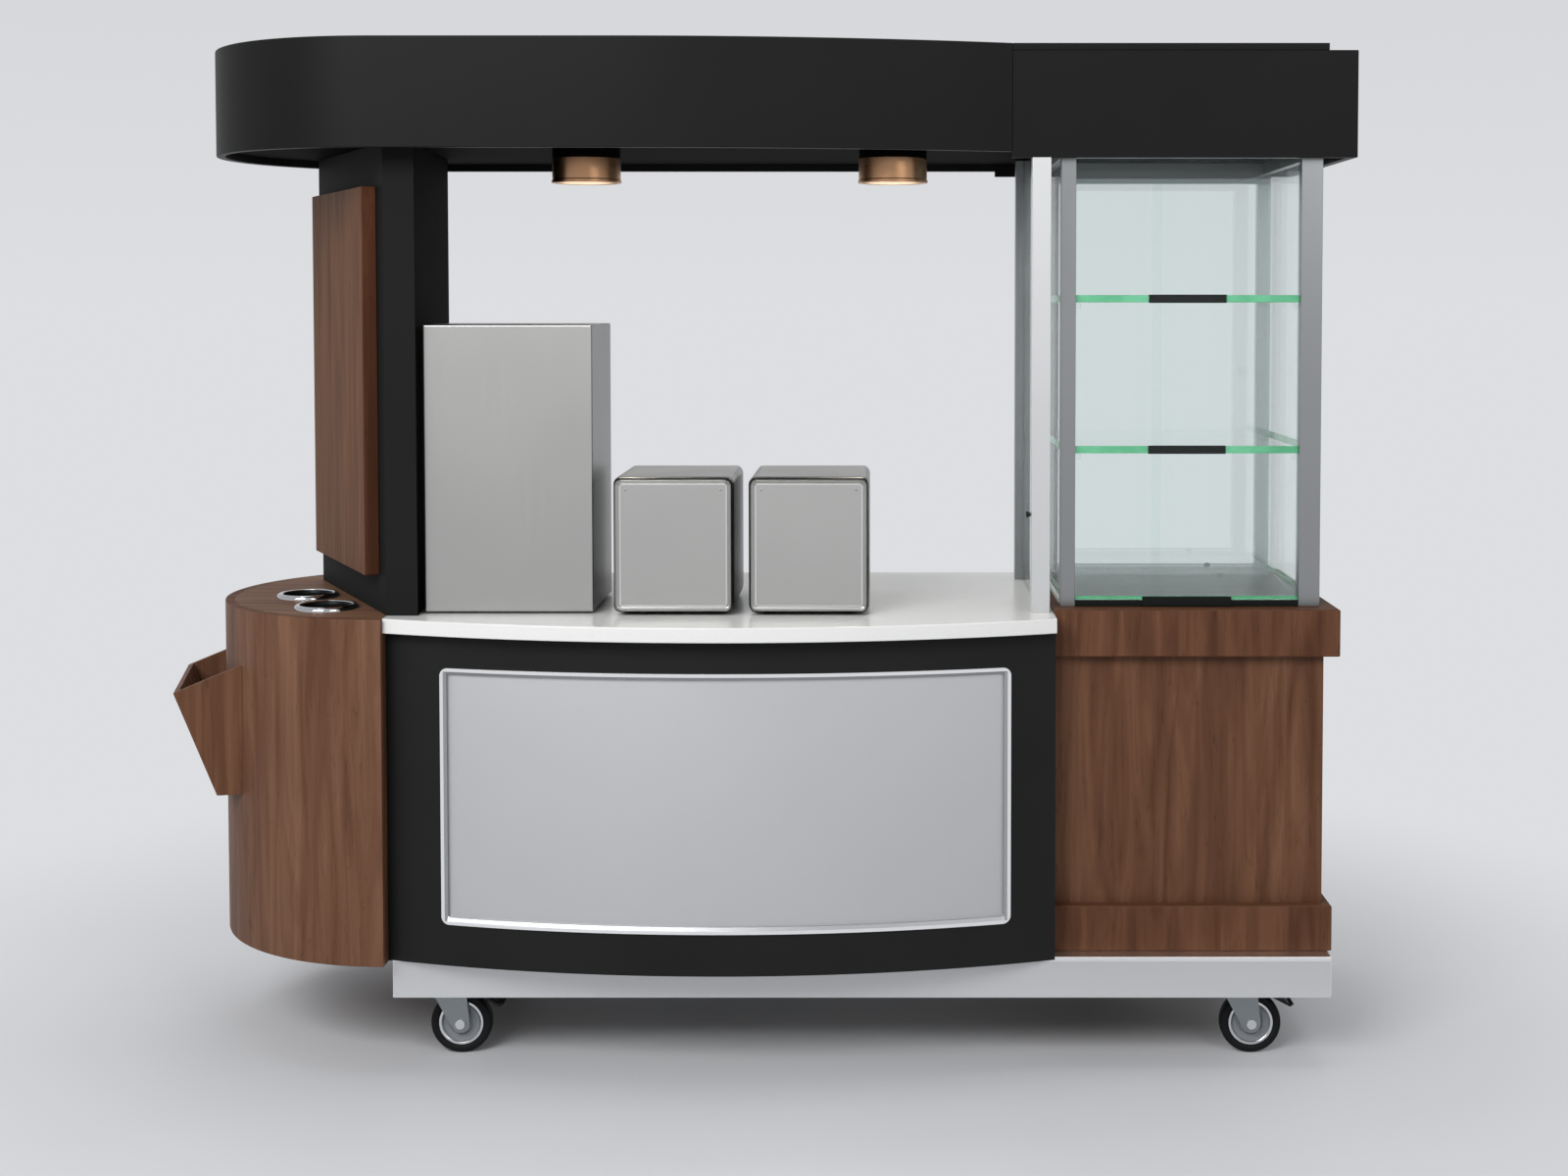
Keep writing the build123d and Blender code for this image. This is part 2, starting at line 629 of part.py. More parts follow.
def canopy_plan(inset):
    """The left canopy's plan: round at the end, drawing back to the seam on the right."""
    front, rear = CANOPY_FRONT + inset, CANOPY_REAR - inset
    tip = CANOPY_END_X - CANOPY_RADIUS + inset
    sweep = SWEEP_RADIUS - inset
    sweep_centre = CANOPY_FRONT + SWEEP_RADIUS

    def sweep_y(x):
        return sweep_centre - sqrt(sweep**2 - (x - SWEEP_X) ** 2)

    middle = (SWEEP_X + SEAM_X) / 2
    edges = [
        Line((SEAM_X, rear), (CANOPY_END_X, rear)),
        ThreePointArc((CANOPY_END_X, rear), (tip, CANOPY_MID_Y), (CANOPY_END_X, front)),
        Line((CANOPY_END_X, front), (SWEEP_X, front)),
        ThreePointArc((SWEEP_X, front), (middle, sweep_y(middle)), (SEAM_X, sweep_y(SEAM_X))),
        Line((SEAM_X, sweep_y(SEAM_X)), (SEAM_X, rear)),
    ]
    return make_face(edges)


def build_canopy():
    """Fascias, roof lid, soffit with the lamp collars, and the two downlights."""
    thick = FASCIA_THICK
    left = canopy_plan(0) - canopy_plan(thick)
    save("canopy_fascia_left", plan(left, FASCIA_LEFT_BOTTOM, CANOPY_TOP))

    right = rectangle(SEAM_X, CANOPY_RIGHT, SEAM_Y, CANOPY_REAR)
    right_room = rectangle(SEAM_X, CANOPY_RIGHT - thick, SEAM_Y + thick, CANOPY_REAR - thick)
    save("canopy_fascia_right", plan(right - right_room, FASCIA_RIGHT_BOTTOM, FASCIA_RIGHT_TOP))

    lid = canopy_plan(thick) + rectangle(SEAM_X, LID_RIGHT, SEAM_Y, CANOPY_REAR)
    save("canopy_roof", plan(lid, FASCIA_RIGHT_TOP, CANOPY_TOP))

    soffit = plan(canopy_plan(thick) + right_room, SOFFIT_Z, SOFFIT_Z + SOFFIT_THICK)
    top = SOFFIT_Z - COLLAR_HEIGHT
    collars = [disc(x, LIGHT_Y, COLLAR_RADIUS, top, SOFFIT_Z) for x in LIGHTS_X]
    save("canopy_soffit", soffit, *collars)

    bottom = top - LIGHT_HEIGHT
    lens_z = bottom + LENS_RECESS
    housings, lenses = [], []
    for x in LIGHTS_X:
        lens = disc(x, LIGHT_Y, LENS_RADIUS, lens_z, lens_z + LENS_THICK)
        can = disc(x, LIGHT_Y, LIGHT_RADIUS, bottom, top) - lens
        reflector = Cone(LIGHT_RADIUS - LIGHT_RIM, LENS_RADIUS, LENS_RECESS)
        can -= Pos(x, LIGHT_Y, bottom + LENS_RECESS / 2) * reflector
        housings.append(can)
        lenses.append(lens)
    save("downlight_housings", *housings)
    save("downlight_lenses", *lenses)


def casing(x0, x1, y0, y1, top, corner):
    """A closed steel casing with round edges, and its four square feet."""
    low = WORKTOP_TOP + FOOT_HEIGHT
    outer = block(x0, x1, y0, y1, low, top)
    top_edges = outer.faces().sort_by(Axis.Z)[-1].edges()
    outer = fillet(outer.edges().filter_by(Axis.Z) + top_edges, corner)
    wall = CASING_WALL
    room = block(x0 + wall, x1 - wall, y0 + wall, y1 - wall, low + wall, top - wall)
    room_top = room.faces().sort_by(Axis.Z)[-1].edges()
    room = fillet(room.edges().filter_by(Axis.Z) + room_top, corner - wall)
    shell = outer - room
    feet = [
        block(x - FOOT_HALF, x + FOOT_HALF, y - FOOT_HALF, y + FOOT_HALF, WORKTOP_TOP, low)
        for x in (x0 + FOOT_INSET, x1 - FOOT_INSET)
        for y in (y0 + FOOT_INSET, y1 - FOOT_INSET)
    ]
    return shell, feet


def build_housings():
    """The tall housing, and two small ones with a front plate each."""
    tall, feet = casing(*TALL_BOX, TALL_CORNER)
    save("tall_casing", tall)
    casings, fronts = [], []
    for x0, x1, y0, y1, top in SMALL_BOXES:
        small, small_feet = casing(x0, x1, y0, y1, top, SMALL_CORNER)
        casings.append(small)
        feet += small_feet
        edge = FRONT_MARGIN
        low = WORKTOP_TOP + FOOT_HEIGHT + edge
        outline = rounded(x0 + edge, x1 - edge, low, top - edge, FRONT_CORNER)
        fronts.append(side_view(outline, y0 - FRONT_PLATE, y0))
    save("small_casings", *casings)
    save("small_fronts", *fronts)
    save("casing_feet", *feet)


def hinge(x, z, side, rear, part):
    """One barrel hinge at a rear corner: the fixed leaf with its pin, or the door's leaf."""
    y = rear + HINGE_RADIUS
    lengths = {"fixed": (z - 1.5 * KNUCKLE, z + 0.5 * KNUCKLE), "door": (z - 0.5 * KNUCKLE,)}
    gap = KNUCKLE_GAP
    solids = []
    for start in lengths[part]:
        barrel = disc(x, y, HINGE_RADIUS, start + gap, start + KNUCKLE - gap)
        if part == "door":
            barrel -= disc(x, y, PIN_RADIUS + RUNNING_GAP, start, start + KNUCKLE)
        reach = side if part == "door" else -side
        edges = sorted((x, x + reach * LEAF_WIDTH))
        leaf = block(*edges, rear, rear + LEAF_THICK, start + gap, start + KNUCKLE - gap)
        if part == "door":
            leaf -= disc(x, y, PIN_RADIUS + RUNNING_GAP, start, start + KNUCKLE)
        solids.append(barrel + leaf)
    if part == "fixed":
        pin = disc(x, y, PIN_RADIUS, z - 1.5 * KNUCKLE + gap, z + 1.5 * KNUCKLE - gap)
        solids = [solids[0] + pin + solids[1]]
    return solids


def knob(x, z, rear):
    """A turned door knob on a short neck."""
    neck_end, head_end = (rear + length for length in KNOB_LENGTHS)
    neck = rod(x, z, KNOB_NECK, rear, neck_end)
    head = rod(x, z, KNOB_RADIUS, neck_end, head_end)
    head = chamfer(head.edges().filter_by(GeomType.CIRCLE), EDGE_BREAK)
    return neck + head


def build_doors():
    """Three inset rear doors, each on two barrel hinges."""
    low = BASE_TOP + BOARD + BOARD_GAP
    middle = HALF_COUNTER
    rear, half_gap = COUNTER_REAR, 0.75 * BOARD_GAP
    counter_high = WORKTOP_BOTTOM - BOARD_GAP
    cabinet_high = CABINET_TOP - BOARD - BOARD_GAP
    doors = {
        "counter_door_left": (BOARD, middle - half_gap, 1, counter_high),
        "counter_door_right": (COUNTER_WIDTH - BOARD, middle + half_gap, -1, counter_high),
        "cabinet_door": (CABINET_RIGHT - BOARD, COUNTER_WIDTH + BOARD + BOARD_GAP, -1, cabinet_high),
    }
    fixed = []
    for name, (wall_x, free_x, side, high) in doors.items():
        axis_x = wall_x + side * BOARD_GAP / 2
        edge_x = wall_x + side * BOARD_GAP
        panel = block(*sorted((edge_x, free_x)), rear - BOARD, rear, low, high)
        heights = (low + HINGE_INSET, high - HINGE_INSET)
        leaves = []
        for z in heights:
            leaves += hinge(axis_x, z, side, rear, "door")
            fixed += hinge(axis_x, z, side, rear, "fixed")
        pull = knob(free_x - side * KNOB_INSET, (low + high) / 2 + KNOB_RISE, rear)
        save(name, panel, *leaves, pull)
        print(name, "hinge axis", round(axis_x - MID_X, 3), round(rear + HINGE_RADIUS - MID_Y, 3))
    save("door_hinges", *fixed)


def axle_rod(radius, y0, y1):
    """A cylinder on the wheel's axle."""
    return rod(TRAIL, WHEEL_RADIUS, radius, y0, y1)


def fork(braked):
    """A swivelling fork round its wheel, with the axle and, if braked, the pedal's pin."""
    inner, outer = CHEEK_INNER, CHEEK_INNER + CHEEK
    crown_top = CROWN_Z + CROWN_THICK
    crown = Line((CROWN_X[0], CROWN_Z), (CROWN_X[1], CROWN_Z))
    boss = Pos(TRAIL, WHEEL_RADIUS) * Circle(BOSS_RADIUS)
    outline = Sketch() + make_hull(boss.edges() + crown.edges())
    if braked:
        outline += make_face(Polyline(*EAR, close=True))
    body = side_view(outline, -outer, -inner) + side_view(outline, inner, outer)
    body += block(*CROWN_X, -outer, outer, CROWN_Z, crown_top)
    body += disc(0, 0, RACE_RADIUS - RACE_INSET, crown_top, RACE_Z[0])
    body += disc(0, 0, STEM_RADIUS, RACE_Z[0], PAD_Z - STEM_GAP)
    body -= axle_rod(AXLE_RADIUS, -outer, outer)
    head_radius, head = AXLE_HEAD
    axle = axle_rod(AXLE_RADIUS, -outer, outer)
    axle += axle_rod(head_radius, -outer - head, -outer)
    axle += axle_rod(head_radius, outer, outer + head)
    if not braked:
        return [body, axle]
    pin = rod(*PEDAL_PIVOT, PEDAL_PIN, -outer, outer)
    return [body - pin, axle, pin]


def wheel_ring(points):
    """A ring turned about the axle, its two sides alike, from radius and width points."""
    both = [(-y, r) for r, y in points] + [(y, r) for r, y in reversed(points)]
    face = Plane.YZ * make_face(Polyline(*both, close=True))
    return Pos(TRAIL, 0, WHEEL_RADIUS) * revolve(face, Axis.Y)


def wheel_solids():
    """The wheel centre with its recessed web, and the tyre bonded round it."""
    hub_half = HUB[0][1]
    rim_half = WEB[1][1]
    bore = (AXLE_RADIUS + RUNNING_GAP, hub_half)
    centre = wheel_ring([bore, *HUB, *WEB, (RIM_RADIUS, rim_half)])
    shoulder, tread = TREAD_BREAK
    half = TYRE_SIDE[1]
    side = [(RIM_RADIUS, TYRE_SIDE[0]), (WHEEL_RADIUS - shoulder, half)]
    return centre, wheel_ring([*side, (WHEEL_RADIUS, half - tread)])


def pedal():
    """The brake pedal: a barrel on the pin, a sloping plate and a ribbed toe."""
    px, pz = PEDAL_PIVOT
    tx, tz = PEDAL_TOE
    length = sqrt((tx - px) ** 2 + (tz - pz) ** 2)
    run = ((tx - px) / length, (tz - pz) / length)
    lift = (-run[1], run[0])
    half = PEDAL_THICK / 2
    toe_end = length + TOE_REACH
    toe_top = half + TOE_RISE

    def at(distance, height):
        return (px + run[0] * distance + lift[0] * height, pz + run[1] * distance + lift[1] * height)

    side = [at(0, -half), at(length, -half), at(toe_end, toe_top)]
    side += [at(toe_end - TOE_RISE, toe_top), at(length - TOE_RISE, half), at(0, half)]
    width = CHEEK_INNER - 1
    body = side_view(make_face(Polyline(*side, close=True)), -width, width)
    body += rod(px, pz, PEDAL_BARREL, -width, width)
    for back in RIBS_BACK:
        rib = [at(length - back + along, half + up) for along, up in RIB]
        rib_width = width - RIB_INSET
        body += side_view(make_face(Polyline(*rib, close=True)), -rib_width, rib_width)
    return body - rod(px, pz, PEDAL_PIN + RUNNING_GAP, -width, width)


def build_casters():
    """Four swivel casters, the two front ones with a brake pedal."""
    plates = []
    centre, tyre = wheel_solids()
    half_x, half_y = PLATE_HALF
    plate_low = PAD_Z - PLATE_THICK
    race_z = RACE_Z[1]
    for name, (x, y) in CASTERS.items():
        place = Pos(x, y, 0)
        plate = block(-half_x, half_x, -half_y, half_y, plate_low, PAD_Z)
        plate += disc(0, 0, RACE_RADIUS, race_z, plate_low)
        plate -= disc(0, 0, STEM_RADIUS + RUNNING_GAP, race_z, PAD_Z)
        plates.append(place * plate)
        save(f"caster_fork_{name}", *[place * solid for solid in fork(name in BRAKED)])
        save(f"caster_wheel_{name}", place * centre)
        save(f"caster_tyre_{name}", place * tyre)
        if name in BRAKED:
            save(f"brake_pedal_{name}", place * pedal())
    save("caster_plates", *plates)


os.makedirs("parts", exist_ok=True)
build_base()
build_counter()
build_drum()
build_bin()
build_pillar()
build_cabinet()
build_screen()
build_showcase()
build_canopy()
build_housings()
build_doors()
build_casters()
print("origin is at drawing x", round(MID_X, 3), "y", round(MID_Y, 3))
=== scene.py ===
# %% [markdown]
# # A mobile coffee cart, dressed in Blender
#
# The cart's solids come from CAD, already at their real size and in their real place. This
# lesson dresses them: it eases the edges of the boards and sheets, it models again the pieces
# whose curves or small details the plain solids can't show, and it gives each piece the finish
# of the real material. Everything is in metres, with the cart's length along X, its front
# towards -Y and the floor at Z = 0.

# %% Load the solids
import json
import math

import bpy
from mathutils import Euler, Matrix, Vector


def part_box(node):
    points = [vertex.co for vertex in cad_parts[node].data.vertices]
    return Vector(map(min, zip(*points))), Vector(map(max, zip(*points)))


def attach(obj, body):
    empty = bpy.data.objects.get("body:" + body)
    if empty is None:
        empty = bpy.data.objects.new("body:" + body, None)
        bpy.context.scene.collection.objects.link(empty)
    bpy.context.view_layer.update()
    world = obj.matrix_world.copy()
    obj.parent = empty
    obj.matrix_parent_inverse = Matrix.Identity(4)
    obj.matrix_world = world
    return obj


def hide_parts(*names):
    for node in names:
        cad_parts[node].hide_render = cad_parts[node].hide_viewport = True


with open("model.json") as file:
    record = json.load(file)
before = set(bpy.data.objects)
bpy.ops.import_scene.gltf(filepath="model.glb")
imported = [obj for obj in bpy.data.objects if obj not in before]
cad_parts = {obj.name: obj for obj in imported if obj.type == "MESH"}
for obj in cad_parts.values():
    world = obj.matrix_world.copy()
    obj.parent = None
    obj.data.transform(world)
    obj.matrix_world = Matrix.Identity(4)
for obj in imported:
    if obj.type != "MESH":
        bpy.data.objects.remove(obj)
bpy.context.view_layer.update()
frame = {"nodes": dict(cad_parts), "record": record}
solids = frame["nodes"]
MM = 0.001
print("solids:", len(solids))

# %% [markdown]
# ## Helpers for materials
#
# A material is a small network of nodes. One function adds a node with its settings and links,
# so each finish below reads as a list of steps. Colours are written as sRGB hex values, as a
# designer would pick them, and one function turns them into the linear values that light needs.
# A pattern is noise on Object coordinates, which are metres here, so its size in millimetres
# becomes a number of cells in a metre.

# %% Colours, sizes and nodes
def linear(colour):
    """An sRGB hex colour as linear red, green, blue and alpha."""
    values = [int(colour[i : i + 2], 16) / 255 for i in (0, 2, 4)]
    bent = [v / 12.92 if v <= 0.04045 else ((v + 0.055) / 1.055) ** 2.4 for v in values]
    return (*bent, 1.0)


def per_metre(size):
    """How many cells of a size in millimetres lie in a metre."""
    return 1 / (size * MM)


def wire(material, node, links):
    """Sets a node's inputs to values, or links them to other nodes' first outputs in use."""
    for name, value in links.items():
        if isinstance(value, bpy.types.Node):
            value = next(output for output in value.outputs if output.enabled)
        if isinstance(value, bpy.types.NodeSocket):
            material.node_tree.links.new(value, node.inputs[name])
        else:
            node.inputs[name].default_value = value


def add(material, kind, links, stops=(), **settings):
    """Adds one node with its settings, its links and, for a colour ramp, its stops."""
    made = material.node_tree.nodes.new(kind)
    for name, value in settings.items():
        setattr(made, name, value)
    wire(material, made, links)
    if stops:
        points = made.color_ramp.elements
        while len(points) < len(stops):
            points.new(0.5)
        for point, (place, value) in zip(points, stops):
            point.position = place
            point.color = linear(value) if isinstance(value, str) else (value, value, value, 1)
    return made


def new_material(name, values):
    """A material with one shader, and where the object's own coordinates come from."""
    made = bpy.data.materials.new(name)
    made.use_nodes = True
    shader = made.node_tree.nodes["Principled BSDF"]
    wire(made, shader, values)
    made.diffuse_color = values["Base Color"]
    place = add(made, "ShaderNodeTexCoord", {}).outputs["Object"]
    return made, shader, place


print("helpers are ready")

# %% [markdown]
# ## Black laminate and powder coat
#
# The canopy's fascia and the bowed frame are boards with a matt black laminate. The pillar and
# the soffit are sheet steel with a black powder coat. Both give the eye a soft, wide and weak
# highlight, and a fine peel breaks it up. The peel is drawn about twice as wide as the real
# one, or it wouldn't show. The gloss drifts by very little, or the roof would look stained.

# %% Matt blacks
GLOSS_DRIFT = 0.015


def matt_black(name, low, high, roughness, shine, peel, depth):
    """A matt black coat: two close blacks, and a peel with dimples of a size in millimetres."""
    made, shader, place = new_material(
        name, {"Base Color": linear(low), "Specular IOR Level": shine, "IOR": 1.5}
    )
    cloud = add(
        made, "ShaderNodeTexNoise", {"Vector": place, "Scale": per_metre(400), "Detail": 2.0}
    )
    dimples = add(
        made, "ShaderNodeTexNoise", {"Vector": place, "Scale": per_metre(peel), "Detail": 1.0}
    )
    tone = add(made, "ShaderNodeValToRGB", {"Fac": cloud}, [(0.3, low), (0.7, high)])
    gloss = add(
        made,
        "ShaderNodeValToRGB",
        {"Fac": cloud},
        [(0.3, roughness - GLOSS_DRIFT), (0.7, roughness + GLOSS_DRIFT)],
    )
    relief = add(
        made, "ShaderNodeBump", {"Height": dimples, "Distance": depth * MM, "Strength": 0.5}
    )
    wire(made, shader, {"Base Color": tone, "Roughness": gloss, "Normal": relief})
    return made


# Pressed laminate on board: almost even, with a soft sheen along the bowed faces.
black_laminate = matt_black("matt_black_laminate", "121212", "151515", 0.48, 0.1, 4, 0.04)
# The same laminate at counter height, a little paler.
paler_laminate = matt_black("paler_black_laminate", "1a1a1a", "1e1e1e", 0.46, 0.1, 4, 0.04)
# Powder coat on sheet steel: an even black with a slight orange peel and little gloss.
black_steel = matt_black("black_powder_coat", "1c1c1c", "1f1f1f", 0.6, 0.03, 2.5, 0.08)
# The same coat without any gloss, as on a ceiling, so the lamps don't show in it. Its colour is
# painted much darker as painted shade, for the soffit and the pillar's shaded flank.
painted_shade_black = matt_black("flat_black_powder_coat_painted_shade", "060606", "080808", 0.7, 0.01, 2.5, 0.08)
print("blacks:", black_laminate.name, black_steel.name, painted_shade_black.name)

# %% [markdown]
# ## Walnut veneer
#
# Walnut is a brown wood with a grain that runs along the board. Four sizes of pattern make it:
# a broad soft figure about 50 mm across and half a metre long, streaks about 9 mm across, short
# dark marks where the grain swirls, and pores, dark flecks less than 1 mm across. Each is the
# same noise, stretched along the grain. The pores are drawn 2.5 mm wide, or they would not
# show. A thin satin lacquer lies on top. The grain stands upright on every face but the flat
# ones, where it lies along the cart. A shift gives each group of boards a figure of its own.

# %% Walnut along any axis
# Each layer: its size across and along the grain in millimetres, its detail and distortion.
WALNUT_LAYERS = {
    "figure": (48, 520, 3.0, 1.3),
    "streak": (9, 380, 3.0, 0.5),
    "swirl": (13, 80, 2.5, 1.8),
    "pores": (2.5, 28, 2.0, 0.0),
}


def walnut(name, grain, dark, middle, light, shift=0.0, shine=0.12):
    """Walnut veneer with its grain along X or Z."""
    made, shader, place = new_material(
        name, {"Base Color": linear(middle), "Specular IOR Level": shine, "IOR": 1.5}
    )
    moved = add(made, "ShaderNodeMapping", {"Vector": place, "Location": (shift,) * 3})
    noise = {}
    for layer, (across, along, detail, distortion) in WALNUT_LAYERS.items():
        size = (along, across, across) if grain == "X" else (across, across, along)
        scaled = add(
            made,
            "ShaderNodeVectorMath",
            {0: moved, 1: [per_metre(s) for s in size]},
            operation="MULTIPLY",
        )
        noise[layer] = add(
            made,
            "ShaderNodeTexNoise",
            {"Vector": scaled, "Scale": 1.0, "Detail": detail, "Distortion": distortion},
        )
    tones = [(0.3, dark), (0.5, middle), (0.7, light)]
    veneer = add(made, "ShaderNodeValToRGB", {"Fac": noise["figure"]}, tones)
    # Each shade darkens the veneer: its layer, its stops and how much of it shows.
    for layer, stops, share in (
        ("streak", [(0.3, 0.84), (0.5, 1.0)], 0.75),
        ("swirl", [(0.62, 1.0), (0.74, 0.68)], 0.8),
        ("pores", [(0.6, 1.0), (0.72, 0.8)], 0.6),
    ):
        shade = add(made, "ShaderNodeValToRGB", {"Fac": noise[layer]}, stops)
        veneer = add(
            made,
            "ShaderNodeMix",
            {"Factor": share, "A": veneer, "B": shade},
            data_type="RGBA",
            blend_type="MULTIPLY",
        )
    gloss = add(made, "ShaderNodeValToRGB", {"Fac": noise["streak"]}, [(0.2, 0.56), (0.8, 0.44)])
    # The last shade holds the pores, and they are the only relief.
    relief = add(made, "ShaderNodeBump", {"Height": shade, "Distance": 0.15 * MM, "Strength": 0.3})
    wire(made, shader, {"Base Color": veneer, "Roughness": gloss, "Normal": relief})
    return made


# Oiled rather than lacquered faces have less shine: the panel, its edges and the drum's top.
OILED = 0.04
# One wood in several tones, since boards from different logs never match exactly.
walnut_drum = walnut("walnut_veneer_drum", "Z", "593b2b", "684836", "755541")
walnut_top = walnut("walnut_veneer_drum_top", "X", "634535", "70523f", "7c5e4b", 5.2, OILED)
walnut_cabinet = walnut("walnut_veneer_cabinet", "Z", "503322", "60402e", "6f4d39", 7.7)
walnut_mould = walnut("walnut_veneer_moulding", "Z", "4b2e1e", "5b3b29", "6b4734", 4.4)
walnut_panel = walnut("walnut_veneer_panel", "Z", "553826", "62412b", "6e4a33", 3.1, OILED)
walnut_edge = walnut("walnut_solid_edge", "Z", "40261a", "4c2d1f", "573625", 2.2, OILED)
walnut_flat = walnut("walnut_veneer_flat", "X", "4e3123", "5c3d2b", "684834", 1.3, OILED)
print("layers of the walnut:", list(WALNUT_LAYERS))

# %% [markdown]
# ## Steel, aluminium and chrome
#
# Brushed metal is a mirror scratched one way. Each scratch is far too fine to see, but together
# they stretch the highlight across the brushing. A noise that is squeezed to about 1 mm one way
# and drawn out to 0.2 m the other way varies both the gloss and the height. A second, wide
# noise varies the gloss as handling does. The scratches are drawn about ten times too wide.

# %% Metals
def brushed_metal(name, colour, roughness, spread, size, depth, **more):
    """A metal with scratches so many millimetres long along X, Y and Z."""
    made, shader, place = new_material(
        name, {"Base Color": linear(colour), "Metallic": 1.0, **more}
    )
    scaled = add(
        made,
        "ShaderNodeVectorMath",
        {0: place, 1: [per_metre(s) for s in size]},
        operation="MULTIPLY",
    )
    scratch = add(made, "ShaderNodeTexNoise", {"Vector": scaled, "Scale": 1.0, "Detail": 3.0})
    cloud = add(
        made, "ShaderNodeTexNoise", {"Vector": place, "Scale": per_metre(330), "Detail": 2.0}
    )
    mean = add(made, "ShaderNodeMix", {"Factor": 0.5, "A": scratch, "B": cloud})
    gloss = add(
        made,
        "ShaderNodeValToRGB",
        {"Fac": mean},
        [(0.3, roughness - spread), (0.7, roughness + spread)],
    )
    relief = add(
        made, "ShaderNodeBump", {"Height": scratch, "Distance": depth * MM, "Strength": 0.4}
    )
    wire(made, shader, {"Roughness": gloss, "Normal": relief})
    return made


# Stainless sheet, brushed upright: a wide soft highlight with fine upright streaks.
stainless = brushed_metal(
    "brushed_stainless_sheet", "aeaeab", 0.38, 0.05, (1.2, 1.2, 200), 0.008, Anisotropic=0.4
)
# The small plates are the same sheet with a lighter grain.
stainless_plate = brushed_metal(
    "brushed_stainless_plate", "b7b7b4", 0.36, 0.05, (1.2, 1.2, 200), 0.008, Anisotropic=0.4
)
# Painted shade: darker copies of the sheet for the housings' sides and the tall one's top.
stainless_side_painted_shade = brushed_metal(
    "brushed_stainless_side", "858583", 0.34, 0.05, (1.2, 1.2, 200), 0.008, Anisotropic=0.4
)
stainless_top_painted_shade = brushed_metal("brushed_stainless_top", "5c5c5b", 0.34, 0.05, (200, 1.2, 1.2), 0.008)
# A polished edge, painted paler than the plate as a painted highlight, shows a bright narrow line.
polished_edge_highlight = brushed_metal("polished_steel_edge_painted_highlight", "dcdcda", 0.22, 0.03, (3, 3, 60), 0.002)
# Satin sheet with a clear coat, brushed along the cart, so it is half as metallic to the eye.
satin_steel = brushed_metal(
    "satin_steel_skirt", "cacbcc", 0.42, 0.05, (250, 1.5, 1.5), 0.01, Metallic=0.6
)
# Painted highlight: a near-white copy of that sheet for the hem, the folds and the frame's foot.
painted_highlight_steel = brushed_metal("bright_steel_painted_highlight", "f4f4f4", 0.3, 0.04, (250, 2, 2), 0.004)
# Steel sheet on the floor of the case, painted paler than it is as painted light, since the panes
# round it hold back much light.
case_floor = brushed_metal("brushed_steel_floor_painted_light", "f2f4f2", 0.35, 0.04, (200, 1.2, 1.2), 0.004)
# Square tube, ground upright: a plain grey with a soft sheen.
post_steel = brushed_metal("satin_steel_posts", "909293", 0.34, 0.04, (1, 1, 300), 0.002)
# Bright anodised tube: paler than the steel, as soft.
bright_post = brushed_metal("bright_anodised_posts", "d9dada", 0.34, 0.04, (1, 1, 300), 0.002)
# Aluminium etched before it was anodised: a pale, even and almost powdery grey.
silver_panel = brushed_metal("etched_aluminium_panel", "c0c1c2", 0.5, 0.03, (2, 2, 100), 0.004)
# Bright anodised strip, nearly white. Its slope gets a darker copy, a painted shade.
bright_trim = brushed_metal("bright_anodised_trim", "f2f3f3", 0.24, 0.03, (100, 1, 1), 0.002)
trim_slope_painted_shade = brushed_metal("anodised_trim_slope", "a4a5a7", 0.34, 0.03, (100, 1, 1), 0.002)
# Zinc plate on pressed steel: a cool grey with small cloudy grains.
zinc_steel = brushed_metal("zinc_plated_steel", "8c9194", 0.36, 0.06, (4, 4, 10), 0.01)
# Turned and polished rims, and chrome plate: a mirror that shows the whole room.
rim_steel = brushed_metal("polished_rim_steel", "d6d8da", 0.2, 0.04, (2, 2, 2), 0.004)
chrome = brushed_metal("polished_chrome", "bfc1c3", 0.1, 0.02, (2, 2, 20), 0.002)
# Bronze, turned, so its scratches run round the can and its highlight stands upright.
bronze = brushed_metal(
    "turned_bronze", "b38a68", 0.24, 0.04, (200, 200, 0.8), 0.003, Anisotropic=0.5
)
# The inside of a can's lip is the same bronze, polished, and painted much paler as a painted
# highlight, so it shows the lamp nearly white.
lip_bronze_highlight = brushed_metal("polished_bronze_lip_painted_highlight", "d9c3ae", 0.3, 0.03, (200, 200, 1), 0.002)
print("finishes so far:", len(bpy.data.materials))

# %% [markdown]
# ## Stone, plastic, rubber and board
#
# The worktop is a cast white sheet, polished, with a fine pale speckle. The inside boards are
# faced with a grey melamine print that looks almost plain. Plastic and rubber are moulded, so
# their gloss is soft and their surface has a fine grain. The grain is drawn 1 to 3 mm wide,
# several times its real size, and its relief is only hundredths of a millimetre.

# %% Plain finishes with a grain
def grained(name, low, high, roughness, grain, depth, shine=0.4):
    """A plain finish: two close colours in a grain of a size in millimetres, and its relief."""
    made, shader, place = new_material(
        name, {"Base Color": linear(low), "Specular IOR Level": shine, "IOR": 1.5}
    )
    speck = add(
        made, "ShaderNodeTexNoise", {"Vector": place, "Scale": per_metre(grain), "Detail": 3.0}
    )
    cloud = add(
        made, "ShaderNodeTexNoise", {"Vector": place, "Scale": per_metre(250), "Detail": 2.0}
    )
    tone = add(made, "ShaderNodeValToRGB", {"Fac": speck}, [(0.35, low), (0.65, high)])
    gloss = add(
        made,
        "ShaderNodeValToRGB",
        {"Fac": cloud},
        [(0.3, roughness - 0.03), (0.7, roughness + 0.03)],
    )
    relief = add(made, "ShaderNodeBump", {"Height": speck, "Distance": depth * MM, "Strength": 0.5})
    wire(made, shader, {"Base Color": tone, "Roughness": gloss, "Normal": relief})
    return made


